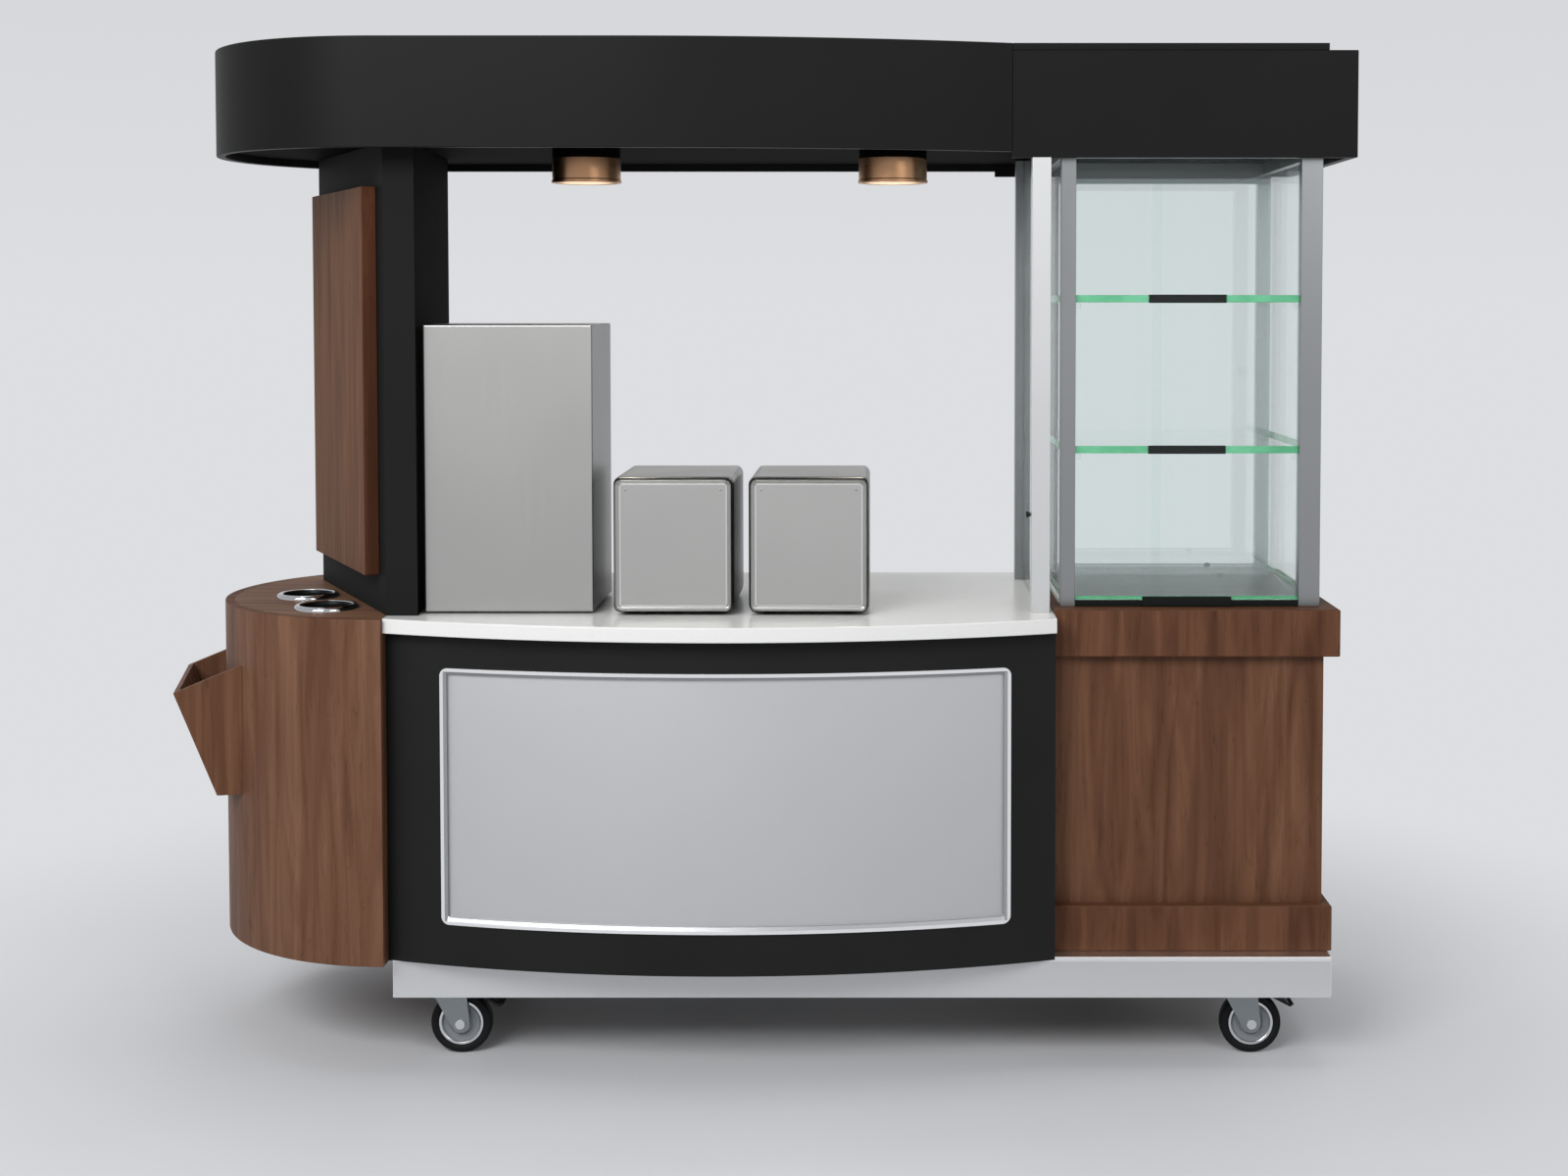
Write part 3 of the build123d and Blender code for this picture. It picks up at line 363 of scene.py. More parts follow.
# Cast acrylic stone, polished: white with a clear soft reflection.
white_worktop = grained("white_solid_surface", "d8d8d6", "e0e0de", 0.22, 1.5, 0.003)
# Melamine on board: a dull pale grey.
carcass_board = grained("grey_melamine_board", "9b9994", "a5a39e", 0.5, 3, 0.02)
# Moulded ABS: black with a slight sheen, on knobs, pedals and feet.
black_plastic = grained("black_moulded_abs", "101112", "161718", 0.42, 1.2, 0.03, 0.2)
# Printed film behind the labels, and the black band of the case's floor.
label_strip = grained("black_label_film", "0c0f0d", "121513", 0.4, 2, 0.01, 0.15)
# Nylon wheel: mid grey and dull.
wheel_nylon = grained("grey_moulded_nylon", "808487", "8b8f92", 0.4, 2, 0.02, 0.3)
# Moulded rubber: black, with almost no gloss, on the tyres, the seals and the stop.
tyre_rubber = grained("black_tread_rubber", "0e0f10", "141516", 0.6, 1.5, 0.05, 0.15)
# Polypropylene cup tube, painted near black as painted shade, since it is so deep.
well_plastic = grained("cup_tube_painted_shade", "070808", "0c0d0d", 0.4, 2, 0.02, 0.15)
print("finishes so far:", len(bpy.data.materials))

# %% [markdown]
# ## Glass
#
# Float glass holds a little iron, so it is clear through its face and green through its edge.
# A pane here is see-through with a cool tint, and its share says how much of it is seen at all.
# The shelves are thicker, and their polished edges glow green, so they get a finish of their
# own: a clear green that also lets some light through. The lamp's lens is frosted, and it
# gives light.

# %% Panes, shelf edges and the lamp's lens
def pane_glass(name, tint, share):
    """Glass seen through its face: the share says how much of it tints and reflects."""
    made, shader, place = new_material(
        name,
        {"Base Color": linear(tint), "IOR": 1.5, "Transmission Weight": 1.0, "Alpha": share},
    )
    wave = add(
        made, "ShaderNodeTexNoise", {"Vector": place, "Scale": per_metre(330), "Detail": 1.0}
    )
    gloss = add(made, "ShaderNodeValToRGB", {"Fac": wave}, [(0.4, 0.01), (0.7, 0.04)])
    wire(made, shader, {"Roughness": gloss})
    return made


clear_glass = pane_glass("float_glass", "d6f0ea", 0.24)
door_glass = pane_glass("float_glass_doors", "d6f0ea", 0.2)
shelf_glass = pane_glass("float_glass_shelves", "d6f0ea", 0.12)

green_edge, edge_shader, place = new_material(
    "polished_glass_edge",
    {"Base Color": linear("58bd84"), "Roughness": 0.15, "IOR": 1.5, "Transmission Weight": 0.35},
)
bands = add(green_edge, "ShaderNodeTexNoise", {"Vector": place, "Scale": per_metre(60)})
green = add(green_edge, "ShaderNodeValToRGB", {"Fac": bands}, [(0.35, "50b67c"), (0.65, "6acb95")])
wire(green_edge, edge_shader, {"Base Color": green})

lens_glass, lens_shader, place = new_material(
    "frosted_lens",
    {
        "Base Color": linear("f6efe2"),
        "Emission Color": linear("fff6ea"),
        "Emission Strength": 2.8,
    },
)
frost = add(lens_glass, "ShaderNodeTexNoise", {"Vector": place, "Scale": per_metre(1.5)})
gloss = add(lens_glass, "ShaderNodeValToRGB", {"Fac": frost}, [(0.3, 0.3), (0.7, 0.5)])
wire(lens_glass, lens_shader, {"Roughness": gloss})
print("glass is ready")

# %% [markdown]
# ## Helpers for shaping
#
# New pieces are modelled as by hand, with Blender's own operators. These helpers select what an
# operator should act on, because an operator acts on everything that is selected. A finished
# piece moves with the body of the solids it stands for, and those solids are hidden.

# %% Selecting, dressing and settling a piece
node_body = {
    node: body
    for body, nodes in frame["record"]["behaviour"]["bodies"].items()
    for node in nodes
}


def select_only(*objects):
    """Selects these objects and nothing else, and makes the last one active."""
    bpy.ops.object.select_all(action="DESELECT")
    for made in objects:
        made.select_set(True)
        bpy.context.view_layer.objects.active = made


def dress(piece, finish):
    """Puts one finish in every slot of a piece."""
    if not piece.data.materials:
        piece.data.materials.append(finish)
    for slot in piece.material_slots:
        slot.material = finish


def dress_faces(piece, finish, test):
    """Gives the faces that pass a test a finish of their own."""
    piece.data.materials.append(finish)
    number = len(piece.data.materials) - 1
    for face in piece.data.polygons:
        if test(face):
            face.material_index = number


def settle(piece, *nodes):
    """The piece stands for these solids, and moves with their body."""
    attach(piece, node_body[nodes[0]])
    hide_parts(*nodes)
    return piece


def ease(piece, width, segments=2, angle=35):
    """Rounds sharp edges to a width in millimetres, and shades the rest smooth."""
    select_only(piece)
    bpy.ops.object.shade_smooth()
    edges = piece.modifiers.new("edges", "BEVEL")
    edges.width = width * MM
    edges.segments = segments
    edges.limit_method = "ANGLE"
    edges.angle_limit = math.radians(angle)
    flats = piece.modifiers.new("flats", "WEIGHTED_NORMAL")
    flats.keep_sharp = False
    for modifier in ("edges", "flats"):
        bpy.ops.object.modifier_apply(modifier=modifier)
    return piece


def pick_only(piece, items, test):
    """Selects a piece, and in its mesh only the edges or faces that pass a test."""
    select_only(piece)
    mesh = piece.data
    for kind in (mesh.vertices, mesh.edges, mesh.polygons):
        kind.foreach_set("select", [False] * len(kind))
    for item in items:
        item.select = test(item)


def bevel_edges(piece, test, width, segments):
    """Rounds the edges whose two ends pass a test, by a width in millimetres."""
    points = piece.data.vertices
    pick_only(
        piece,
        piece.data.edges,
        lambda edge: test(points[edge.key[0]].co, points[edge.key[1]].co),
    )
    bpy.ops.object.mode_set(mode="EDIT")
    bpy.ops.mesh.select_mode(type="EDGE")
    bpy.ops.mesh.bevel(offset=width * MM, segments=segments, affect="EDGES")
    bpy.ops.mesh.select_mode(type="VERT")
    bpy.ops.object.mode_set(mode="OBJECT")


def inset_faces(piece, test, border, height):
    """Insets the faces that pass a test, and raises the field inside, in millimetres."""
    pick_only(piece, piece.data.polygons, test)
    bpy.ops.object.mode_set(mode="EDIT")
    bpy.ops.mesh.select_mode(type="FACE")
    bpy.ops.mesh.inset(thickness=border * MM, depth=height * MM)
    bpy.ops.mesh.select_mode(type="VERT")
    bpy.ops.object.mode_set(mode="OBJECT")


def cut_across(piece, point, direction):
    """Cuts the faces that cross a plane, and leaves the shape as it is."""
    select_only(piece)
    bpy.ops.object.mode_set(mode="EDIT")
    bpy.ops.mesh.select_all(action="SELECT")
    bpy.ops.mesh.bisect(plane_co=point, plane_no=direction)
    bpy.ops.object.mode_set(mode="OBJECT")


def edges_between(piece, first, second):
    """The edges with a face that passes one test on one side and the other test on the other."""
    faces_of = {}
    for face in piece.data.polygons:
        for key in face.edge_keys:
            faces_of.setdefault(key, []).append(face)
    return {
        key
        for key, faces in faces_of.items()
        if any(first(face) for face in faces) and any(second(face) for face in faces)
    }


# %% [markdown]
# ## Easing the boards, sheets and posts
#
# No real edge is perfectly sharp. A board's edge is sanded, a sheet's fold has a radius, and
# both catch a thin line of light that tells the eye how big the piece is. So most solids are
# copied, their loose triangles are merged into one skin, and a bevel rounds the sharp edges.
# The widths are in millimetres: about 1 for a laminated board, 2 or more for solid edges.

# %% Copy a solid and ease its edges
def one_skin(node, finish):
    """A copy of a solid as one skin with a finish."""
    piece = bpy.data.objects.new(node + "_eased", solids[node].data.copy())
    bpy.context.scene.collection.objects.link(piece)
    piece.data.name = piece.name
    select_only(piece)
    bpy.ops.object.mode_set(mode="EDIT")
    bpy.ops.mesh.select_all(action="SELECT")
    bpy.ops.mesh.customdata_custom_splitnormals_clear()
    bpy.ops.mesh.remove_doubles(threshold=0.01 * MM)
    bpy.ops.mesh.dissolve_limited(angle_limit=math.radians(0.1))
    bpy.ops.object.mode_set(mode="OBJECT")
    piece.data.materials.clear()
    dress(piece, finish)
    return piece


def eased(node, finish, width, segments=2):
    """A copy of a solid with eased edges."""
    return settle(ease(one_skin(node, finish), width, segments), node)


eased_solids = {
    paler_laminate: {"front_frame": 1.2},
    black_laminate: {
        "canopy_fascia_left": 1.5,
        "canopy_fascia_right": 1.5,
        "canopy_roof": 1,
    },
    black_steel: {"pillar": 1.5},
    painted_shade_black: {"canopy_soffit": 1},
    satin_steel: {"base_skirt": 2},
    post_steel: {"showcase_posts": 1.2, "showcase_rails": 0.8},
    bright_post: {"screen_posts": 1.2},
    silver_panel: {"front_panel": 0.5},
    walnut_drum: {"drum_wall": 1.5},
    walnut_cabinet: {"cabinet_walls": 1, "cabinet_door": 1, "side_bin": 1},
    walnut_mould: {"cabinet_cornice": 1, "cabinet_plinth": 1},
    walnut_panel: {"pillar_panel": 1},
    walnut_top: {"drum_top": 1},
    white_worktop: {"counter_worktop": 1},
    carcass_board: {"counter_door_left": 1, "counter_door_right": 1},
    case_floor: {"showcase_base": 0.8},
    label_strip: {"shelf_strips": 0.6},
    black_plastic: {"power_inlet": 0.6, "casing_feet": 0.6},
}
pieces = {}
for finish, widths in eased_solids.items():
    for node, width in widths.items():
        pieces[node] = eased(node, finish, width)
print("eased pieces:", len(pieces))


# %% Veneer on flat faces, a plain edge on the panel, zinc on the door fittings
def lies_flat(face):
    """True for a face that looks up or down."""
    return abs(face.normal.z) > 0.7


for node in ("cabinet_cornice", "cabinet_plinth", "cabinet_walls", "drum_wall"):
    dress_faces(pieces[node], walnut_flat, lies_flat)
# The panel's two large faces are veneer, and the narrow ones round it are solid wood.
PANEL_FACE_AREA = 0.1
dress_faces(pieces["pillar_panel"], walnut_edge, lambda face: face.area < PANEL_FACE_AREA)
# Painted shade: the pillar's right flank gets the darker, flat black.
dress_faces(pieces["pillar"], painted_shade_black, lambda face: face.normal.x > 0.7)
# Hinge leaves and knobs stand out behind the doors.
doors_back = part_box("cabinet_walls")[1].y + 0.1 * MM
for node in ("counter_door_left", "counter_door_right", "cabinet_door"):
    dress_faces(pieces[node], zinc_steel, lambda face: face.center.y > doors_back)
# Painted shade: the rear screen post gets the darker grey of the case's posts.
dress_faces(pieces["screen_posts"], post_steel, lambda face: face.center.y > 0)
dress_faces(pieces["showcase_base"], label_strip, lambda face: face.normal.y < -0.7)
print("faces of the panel:", len(pieces["pillar_panel"].data.polygons))

# %% [markdown]
# The sheet skirt ends in a hem. The hem, the skirt's folds and the foot of the bowed frame get a
# painted highlight: a near-white copy of the sheet. The hem is a band of the same sheet, so the
# skirt is cut at the hem's height and the faces above the cut get the painted highlight. The
# showcase's shelf rests are small clear tabs, and they are found by their height between the rails.

# %% Painted highlight on the hem, folds and foot, and clear shelf rests
HEM_HIGH, FOOT_HIGH, ABOVE_FLOOR, BELOW_RAILS = 9 * MM, 2 * MM, 20 * MM, 60 * MM
hem_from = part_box("base_skirt")[1].z - HEM_HIGH
foot_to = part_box("front_frame")[0].z + FOOT_HIGH
rests_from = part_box("showcase_base")[1].z + ABOVE_FLOOR
rests_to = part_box("showcase_posts")[1].z - BELOW_RAILS


def on_the_hem(face):
    """True for a face of the skirt's hem, or of a fold, which faces two ways at once."""
    turned = sorted(abs(part) for part in face.normal)
    return face.center.z > hem_from or turned[1] > 0.3


def on_the_foot(face):
    """True for a face at the foot of the bowed frame."""
    return face.center.z < foot_to and face.normal.y < 0


def on_a_rest(face):
    """True for a face of a shelf rest."""
    return rests_from < face.center.z < rests_to


cut_across(pieces["base_skirt"], (0, 0, hem_from), (0, 0, 1))
# Painted highlight on the hem, the folds and the frame's foot.
dress_faces(pieces["base_skirt"], painted_highlight_steel, on_the_hem)
dress_faces(pieces["showcase_rails"], clear_glass, on_a_rest)
dress_faces(pieces["front_frame"], painted_highlight_steel, on_the_foot)
print("the hem starts at:", round(hem_from, 3))

# %% [markdown]
# ## Solids that keep their shape
#
# What is hidden inside the cart, or is right as it stands, keeps its solid and only gets its
# finish.

# %% Finish the solids that stay
plain_solids = {
    carcass_board: ["counter_boards", "counter_uprights"],
    walnut_flat: ["cabinet_boards"],
    walnut_panel: ["drum_boards"],
    black_steel: ["base_frame"],
    well_plastic: ["cup_wells"],
    zinc_steel: ["door_hinges", "caster_plates"],
}
for finish, names in plain_solids.items():
    for name in names:
        dress(solids[name], finish)
print("plain solids:", sum(len(names) for names in plain_solids.values()))

# %% [markdown]
# ## Glass panes and shelves
#
# The panes keep their thickness, and their edges are ground with a small flat. On each shelf
# the top and bottom are clear, and the edges at the front and sides take the green finish.

# %% Panes, doors and shelves
GROUND_FLAT = 0.5
for node, finish in (
    ("screen_glass", clear_glass),
    ("showcase_glass", clear_glass),
    ("showcase_door_left", door_glass),
    ("showcase_door_right", door_glass),
    ("showcase_shelves", shelf_glass),
):
    pieces[node] = eased(node, finish, GROUND_FLAT, 1)
dress_faces(
    pieces["showcase_shelves"],
    green_edge,
    lambda face: abs(face.normal.z) < 0.9 and face.normal.y < 0.5,
)
print("eased pieces with the glass:", len(pieces))

# %% [markdown]
# ## Bright trim
#
# The trim is a narrow bright frame with a slope on its inner side that runs down to the silver
# panel. The solid has a square section, so the copy is cut along the middle of its front, and
# its inner edge is pushed back. A bevel this wide would leave spikes at the small corners.

# %% Trim with a sloping inner side
trim = one_skin("front_trim", bright_trim)
trim_low, trim_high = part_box("front_trim")
trim_middle = (trim_low + trim_high) / 2


def looks_forward(face):
    """True for a face that looks to the front of the cart."""
    return face.normal.y < -0.9


def looks_inward(face):
    """True for a face that looks towards the middle of the window."""
    return abs(face.normal.y) < 0.5 and face.normal.dot(trim_middle - face.center) > 0


def inner_points():
    """The points of the trim's front inner edge."""
    edges = edges_between(trim, looks_forward, looks_inward)
    return [trim.data.vertices[number] for number in {n for key in edges for n in key}]


SLOPE_WIDE, SLOPE_DEEP = 6.6 * MM, 4.5 * MM
across = [point.co.x for point in inner_points()]
upright = [point.co.z for point in inner_points()]
slope_left, slope_right = min(across) - SLOPE_WIDE, max(across) + SLOPE_WIDE
slope_low, slope_high = min(upright) - SLOPE_WIDE, max(upright) + SLOPE_WIDE
for x in (slope_left, slope_right):
    cut_across(trim, (x, 0, 0), (1, 0, 0))
for z in (slope_low, slope_high):
    cut_across(trim, (0, 0, z), (0, 0, 1))
for point in inner_points():
    point.co.y += SLOPE_DEEP
trim.data.update()


def on_the_slope(face):
    """True for a face inside the cuts that doesn't look back."""
    x, _, z = face.center
    return slope_left < x < slope_right and slope_low < z < slope_high and face.normal.y < 0.5


# Painted shade: the slope is the darker copy of the anodising.
dress_faces(trim, trim_slope_painted_shade, on_the_slope)
# The slope meets the flat at 34 degrees, so a limit of 25 rounds that whole edge alike.
ease(trim, 0.6, angle=25)
settle(trim, "front_trim")
print("points on the trim's inner edge:", len(across))

# %% [markdown]
# ## Turned pieces
#
# Rings, wheels and cans are round about one axis. Such a piece is drawn as half of its section
# and spun. The section starts as a plane merged to one corner, which is extruded from point to
# point. Spun shapes can come out inside out, so their normals are recalculated.

# %% Draw a section and spin it
def spun(name, section, centre, axis, steps=48):
    """A ring or disc from a closed section of (radius, height) points in millimetres."""
    turn_axis = Vector(axis)
    side = Vector((0, 0, 1)) if axis[0] else Vector((1, 0, 0))
    corners = [Vector(centre) + side * r * MM + turn_axis * h * MM for r, h in section]
    select_only()
    bpy.ops.mesh.primitive_plane_add(size=1 * MM, location=corners[0])
    piece = bpy.context.object
    piece.name = name
    piece.data.name = name
    bpy.ops.object.transform_apply(location=True, rotation=True, scale=True)
    bpy.ops.object.mode_set(mode="EDIT")
    bpy.ops.mesh.select_all(action="SELECT")
    bpy.ops.mesh.merge(type="CENTER")
    for here, there in zip(corners, corners[1:] + corners[:1]):
        bpy.ops.mesh.extrude_vertices_move(TRANSFORM_OT_translate={"value": there - here})
    bpy.ops.mesh.select_all(action="SELECT")
    bpy.ops.mesh.remove_doubles(threshold=0.01 * MM)
    bpy.ops.mesh.spin(steps=steps, angle=math.tau, center=centre, axis=axis)
    bpy.ops.mesh.select_all(action="SELECT")
    bpy.ops.mesh.remove_doubles(threshold=0.01 * MM)
    bpy.ops.mesh.normals_make_consistent(inside=False)
    bpy.ops.object.mode_set(mode="OBJECT")
    return piece


def smooth(piece, angle=40):
    """Shades round faces smooth and keeps the corners sharp."""
    select_only(piece)
    bpy.ops.object.shade_smooth_by_angle(angle=math.radians(angle))


def joined(name, *parts):
    """Several meshes as one piece."""
    select_only(*parts)
    bpy.ops.object.join()
    whole = bpy.context.object
    whole.name = name
    whole.data.name = name
    return whole


print("spinning is ready")

# %% [markdown]
# ## Cup rings
#
# Each well has a pressed chrome ring with a round crown, its inner lip turned down into the
# well. A mirror finish needs a smooth section, so the crown is drawn with many points.

# %% Two chrome rings
ring_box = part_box("cup_rings")
# Millimetres: both radii of the ring, its crown's radius across and height, and its foot.
RING_OUTER, RING_INNER = 65, 49
CROWN_WIDE, CROWN_HIGH, CROWN_FOOT = 8, 8.2, 0.6
CROWN_STEPS = 14
crown = [(RING_OUTER, 0)]
for step in range(1, CROWN_STEPS):
    turn = math.pi * step / CROWN_STEPS
    radius = (RING_OUTER + RING_INNER) / 2 + CROWN_WIDE * math.cos(turn)
    crown.append((radius, CROWN_FOOT + CROWN_HIGH * math.sin(turn)))
crown += [(RING_INNER, 0)]
well_places = [
    (ring_box[1].x - RING_OUTER * MM, ring_box[0].y + RING_OUTER * MM, ring_box[0].z),
    (ring_box[0].x + RING_OUTER * MM, ring_box[1].y - RING_OUTER * MM, ring_box[0].z),
]
rings = [spun(f"cup_ring_{i}", crown, place, (0, 0, 1), 72) for i, place in enumerate(well_places)]
cup_rings = joined("chrome_cup_rings", *rings)
dress(cup_rings, chrome)


def from_nearest(face, places):
    """How far a face is from the nearest upright axis, in millimetres."""
    return min(math.hypot(face.center.x - x, face.center.y - y) for x, y, _ in places) / MM


# Painted dark reflection: the ring's inner side takes the tube's black.
DARK_REFLECTION_RADIUS = 51.5
dress_faces(cup_rings, well_plastic, lambda face: from_nearest(face, well_places) < DARK_REFLECTION_RADIUS)
smooth(cup_rings, 50)
settle(cup_rings, "cup_rings")
print("rings:", len(rings), "faces:", len(cup_rings.data.polygons))

# %% [markdown]
# ## Downlights
#
# Each light is a brushed bronze can under a black collar, with a turned lip at its lower end.
# The inside of the lip is upright and polished, so from in front it mirrors the frosted lens
# above it as a bright crescent. Its colour is painted paler too, a painted highlight.

# %% Bronze cans with a polished lip
can_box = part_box("downlight_housings")
can_high = (can_box[1].z - can_box[0].z) / MM
CAN_RADIUS, LIP_INNER = 72, 66.2
# Down the outside from the collar, over the groove and the lip, and up inside to the lens.
can_section = [
    (40, can_high),
    (69.5, can_high),
    (70.5, can_high - 1),
    (70.5, 8),
    (69.6, 7),
    (69.6, 6.4),
    (71.4, 6),
    (72, 5.2),
    (72, 0.8),
    (71.4, 0),
    (66.4, 0),
    (65.6, 0.8),
    (65.6, 8.4),
    (40, 8.4),
]
can_places = [
    (x, can_box[0].y + CAN_RADIUS * MM, can_box[0].z)
    for x in (can_box[0].x + CAN_RADIUS * MM, can_box[1].x - CAN_RADIUS * MM)
]
cans = [spun(f"can_{i}", can_section, place, (0, 0, 1), 64) for i, place in enumerate(can_places)]
downlights = joined("bronze_downlights", *cans)
dress(downlights, bronze)
# Painted highlight: the lip's inside is the paler bronze.
dress_faces(downlights, lip_bronze_highlight, lambda face: from_nearest(face, can_places) < LIP_INNER)
smooth(downlights, 30)
settle(downlights, "downlight_housings")
dress(solids["downlight_lenses"], lens_glass)
print("downlights:", len(cans))

# %% [markdown]
# ## Small fittings
#
# A black thumb screw in the front screen post holds the pane, and a small rubber stop on the
# case's floor keeps the sliding doors in their track.

# %% Thumb screw and door stop
post_low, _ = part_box("screen_posts")
_, case_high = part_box("showcase_base")
THUMB_SECTION = [(0, 0), (3.5, 0), (3.5, 3), (5.5, 3.4), (6, 4.4), (6, 8), (5, 9), (0, 9.2)]
STOP_SECTION = [(0, 0), (7, 0), (7, 3), (6, 6), (3.5, 7.6), (0, 8)]
# The screw sits 0.2 m above the worktop, and the stop a little right of the case's middle.
THUMB_HEIGHT, THUMB_FROM_FRONT = 1.11, 30 * MM
STOP_ACROSS, STOP_FROM_BACK = 1.029, 22 * MM
thumb_place = (post_low.x, post_low.y + THUMB_FROM_FRONT, THUMB_HEIGHT)
stop_place = (STOP_ACROSS, case_high.y - STOP_FROM_BACK, case_high.z)
for name, section, place, axis, node, finish in (
    ("screen_thumb_screw", THUMB_SECTION, thumb_place, (-1, 0, 0), "screen_posts", black_plastic),
    ("case_door_stop", STOP_SECTION, stop_place, (0, 0, 1), "showcase_base", tyre_rubber),
):
    fitting = spun(name, section, place, axis, 24)
    dress(fitting, finish)
    smooth(fitting)
    settle(fitting, node)
    print(name, "faces:", len(fitting.data.polygons))

# %% [markdown]
# ## Steel housings
#
# The tall housing is a folded case with narrow round corners. The two small ones have wide
# round corners and a front plate with round corners of its own, raised a little inside a border
# that is polished and painted paler, a painted highlight. A black seal behind the plate and the
# black front of the case round it are a painted shadow in the gap. Each starts as a cube at its
# size, and bevels round first its upright edges and then its top. Their sides, and the tall
# one's top, are painted darker as painted shade, so the boxes keep their form under even light.

# %% A folded case with round corners
def box_between(name, low, high):
    """A cube primitive stretched between two corners, its place in its mesh."""
    low, high = Vector(low), Vector(high)
    select_only()
    bpy.ops.mesh.primitive_cube_add(size=1, location=(low + high) / 2, scale=high - low)
    piece = bpy.context.object
    piece.name = name
    piece.data.name = name
    bpy.ops.object.transform_apply(location=True, rotation=True, scale=True)
    return piece


def steel_case(name, low, high, corner, top_corner):
    """A case with rounded upright edges and a rounded top."""
    case = box_between(name, low, high)
    bevel_edges(case, lambda a, b: abs(a.z - b.z) > 1 * MM, corner, 6)
    top = high[2] - 0.1 * MM
    bevel_edges(case, lambda a, b: a.z > top and b.z > top, top_corner, 4)
    return case


print("folded cases are ready")

# %% Tall housing
TALL_CORNER, TALL_TOP = 4, 3
tall_low, tall_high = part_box("tall_casing")
tall = steel_case("tall_steel_case", tall_low, tall_high, TALL_CORNER, TALL_TOP)
dress(tall, stainless)
# Painted shade: the sides and the top get the darker copies of the sheet.
dress_faces(tall, stainless_side_painted_shade, lambda face: abs(face.normal.x) > 0.5)
dress_faces(tall, stainless_top_painted_shade, lambda face: face.normal.z > 0.5)
ease(tall, 0.8)
settle(tall, "tall_casing")
print("tall housing:", [round(v, 3) for v in tall_high - tall_low])

# %% Two small housings and their front plates
small_low, small_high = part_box("small_casings")
plate_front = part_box("small_fronts")[0].y
SMALL_WIDE = 242 * MM
# Millimetres: how far a plate and the black seal, a painted shadow, lie inside the case's outline,
# and their corners.
SMALL_CORNER, SMALL_TOP = 16, 9
PLATE_IN, PLATE_CORNER = 5, 11
SEAL_IN, SEAL_CORNER, SEAL_PROUD, SEAL_DEEP = 3, 12, 0.6, 3
BORDER_WIDE, FIELD_HIGH = 3.5, 1.8
SCREW_IN = 26
SCREW_SECTION = [(0, 0.7), (1.2, 0.65), (2.0, 0.4), (2.4, 0), (2.4, -1), (0, -1)]


def rounded_plate(name, left, inset, front, back, corner):
    """A plate inset from a small housing's outline, its corners rounded."""
    plate = box_between(
        name,
        (left + inset * MM, front, small_low.z + inset * MM),
        (left + SMALL_WIDE - inset * MM, back, small_high.z - inset * MM),
    )
    bevel_edges(plate, lambda a, b: abs(a.y - b.y) > 0.5 * MM, corner, 6)
    return plate


cases, plates, shadow_gap_rings, screws = [], [], [], []
for i, left in enumerate((small_low.x, small_high.x - SMALL_WIDE)):
    low, high = (left, small_low.y, small_low.z), (left + SMALL_WIDE, *small_high.yz)
    cases.append(steel_case(f"case_{i}", low, high, SMALL_CORNER, SMALL_TOP))
    front = plate_front + FIELD_HIGH * MM
    plate = rounded_plate(f"plate_{i}", left, PLATE_IN, front, small_low.y, PLATE_CORNER)
    inset_faces(plate, looks_forward, BORDER_WIDE, FIELD_HIGH)
    plates.append(plate)
    front, back = small_low.y - SEAL_PROUD * MM, small_low.y + SEAL_DEEP * MM
    shadow_gap_rings.append(rounded_plate(f"seal_{i}", left, SEAL_IN, front, back, SEAL_CORNER))
    for side in (SCREW_IN * MM, SMALL_WIDE - SCREW_IN * MM):
        place = (left + side, plate_front, small_high.z - SCREW_IN * MM)
        screws.append(spun(f"screw_{i}", SCREW_SECTION, place, (0, -1, 0), 16))
small_cases = joined("small_steel_cases", *cases)
dress(small_cases, stainless)
# Painted shade: the sides get the darker copy of the sheet.
dress_faces(small_cases, stainless_side_painted_shade, lambda face: abs(face.normal.x) > 0.5)
# Painted shadow: what shows of the case's front round the seal is black rubber, so the gap
# round the plate reads dark.
dress_faces(small_cases, tyre_rubber, looks_forward)
ease(small_cases, 0.8)
settle(small_cases, "small_casings")
small_plates = joined("small_front_plates", *plates)
dress(small_plates, stainless_plate)
# Painted highlight: the plate's bevelled border is the paler, polished steel.
dress_faces(small_plates, polished_edge_highlight, lambda face: -0.998 < face.normal.y < -0.5)
ease(small_plates, 0.6)
settle(small_plates, "small_fronts")
# Painted shadow: the black seal behind each plate stands for the shade in the gap round it.
small_shadow_gap_rings = joined("small_front_shadow_gap_seals", *shadow_gap_rings)
dress(small_shadow_gap_rings, tyre_rubber)
ease(small_shadow_gap_rings, 0.8)
settle(small_shadow_gap_rings, "small_fronts")
small_screws = joined("small_front_screws", *screws)
dress(small_screws, zinc_steel)
smooth(small_screws)
settle(small_screws, "small_fronts")
print("small housings:", len(cases), "plates:", len(plates), "screws:", len(screws))

# %% [markdown]
# ## Casters
#
# A caster is a rubber tyre on a moulded wheel, in a fork of pressed sheet that swivels under its
# plate. The wheel and the tyre are spun about the axle, and one of each is modelled and copied.
# The wheel's face has a bright rim, a sunk ring and a raised hub.

# %% Tyre and wheel
wheel_nodes = {corner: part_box(f"caster_tyre_{corner}") for corner in ("fl", "fr", "rl", "rr")}
first_low, first_high = wheel_nodes["fl"]
axle = (first_low + first_high) / 2
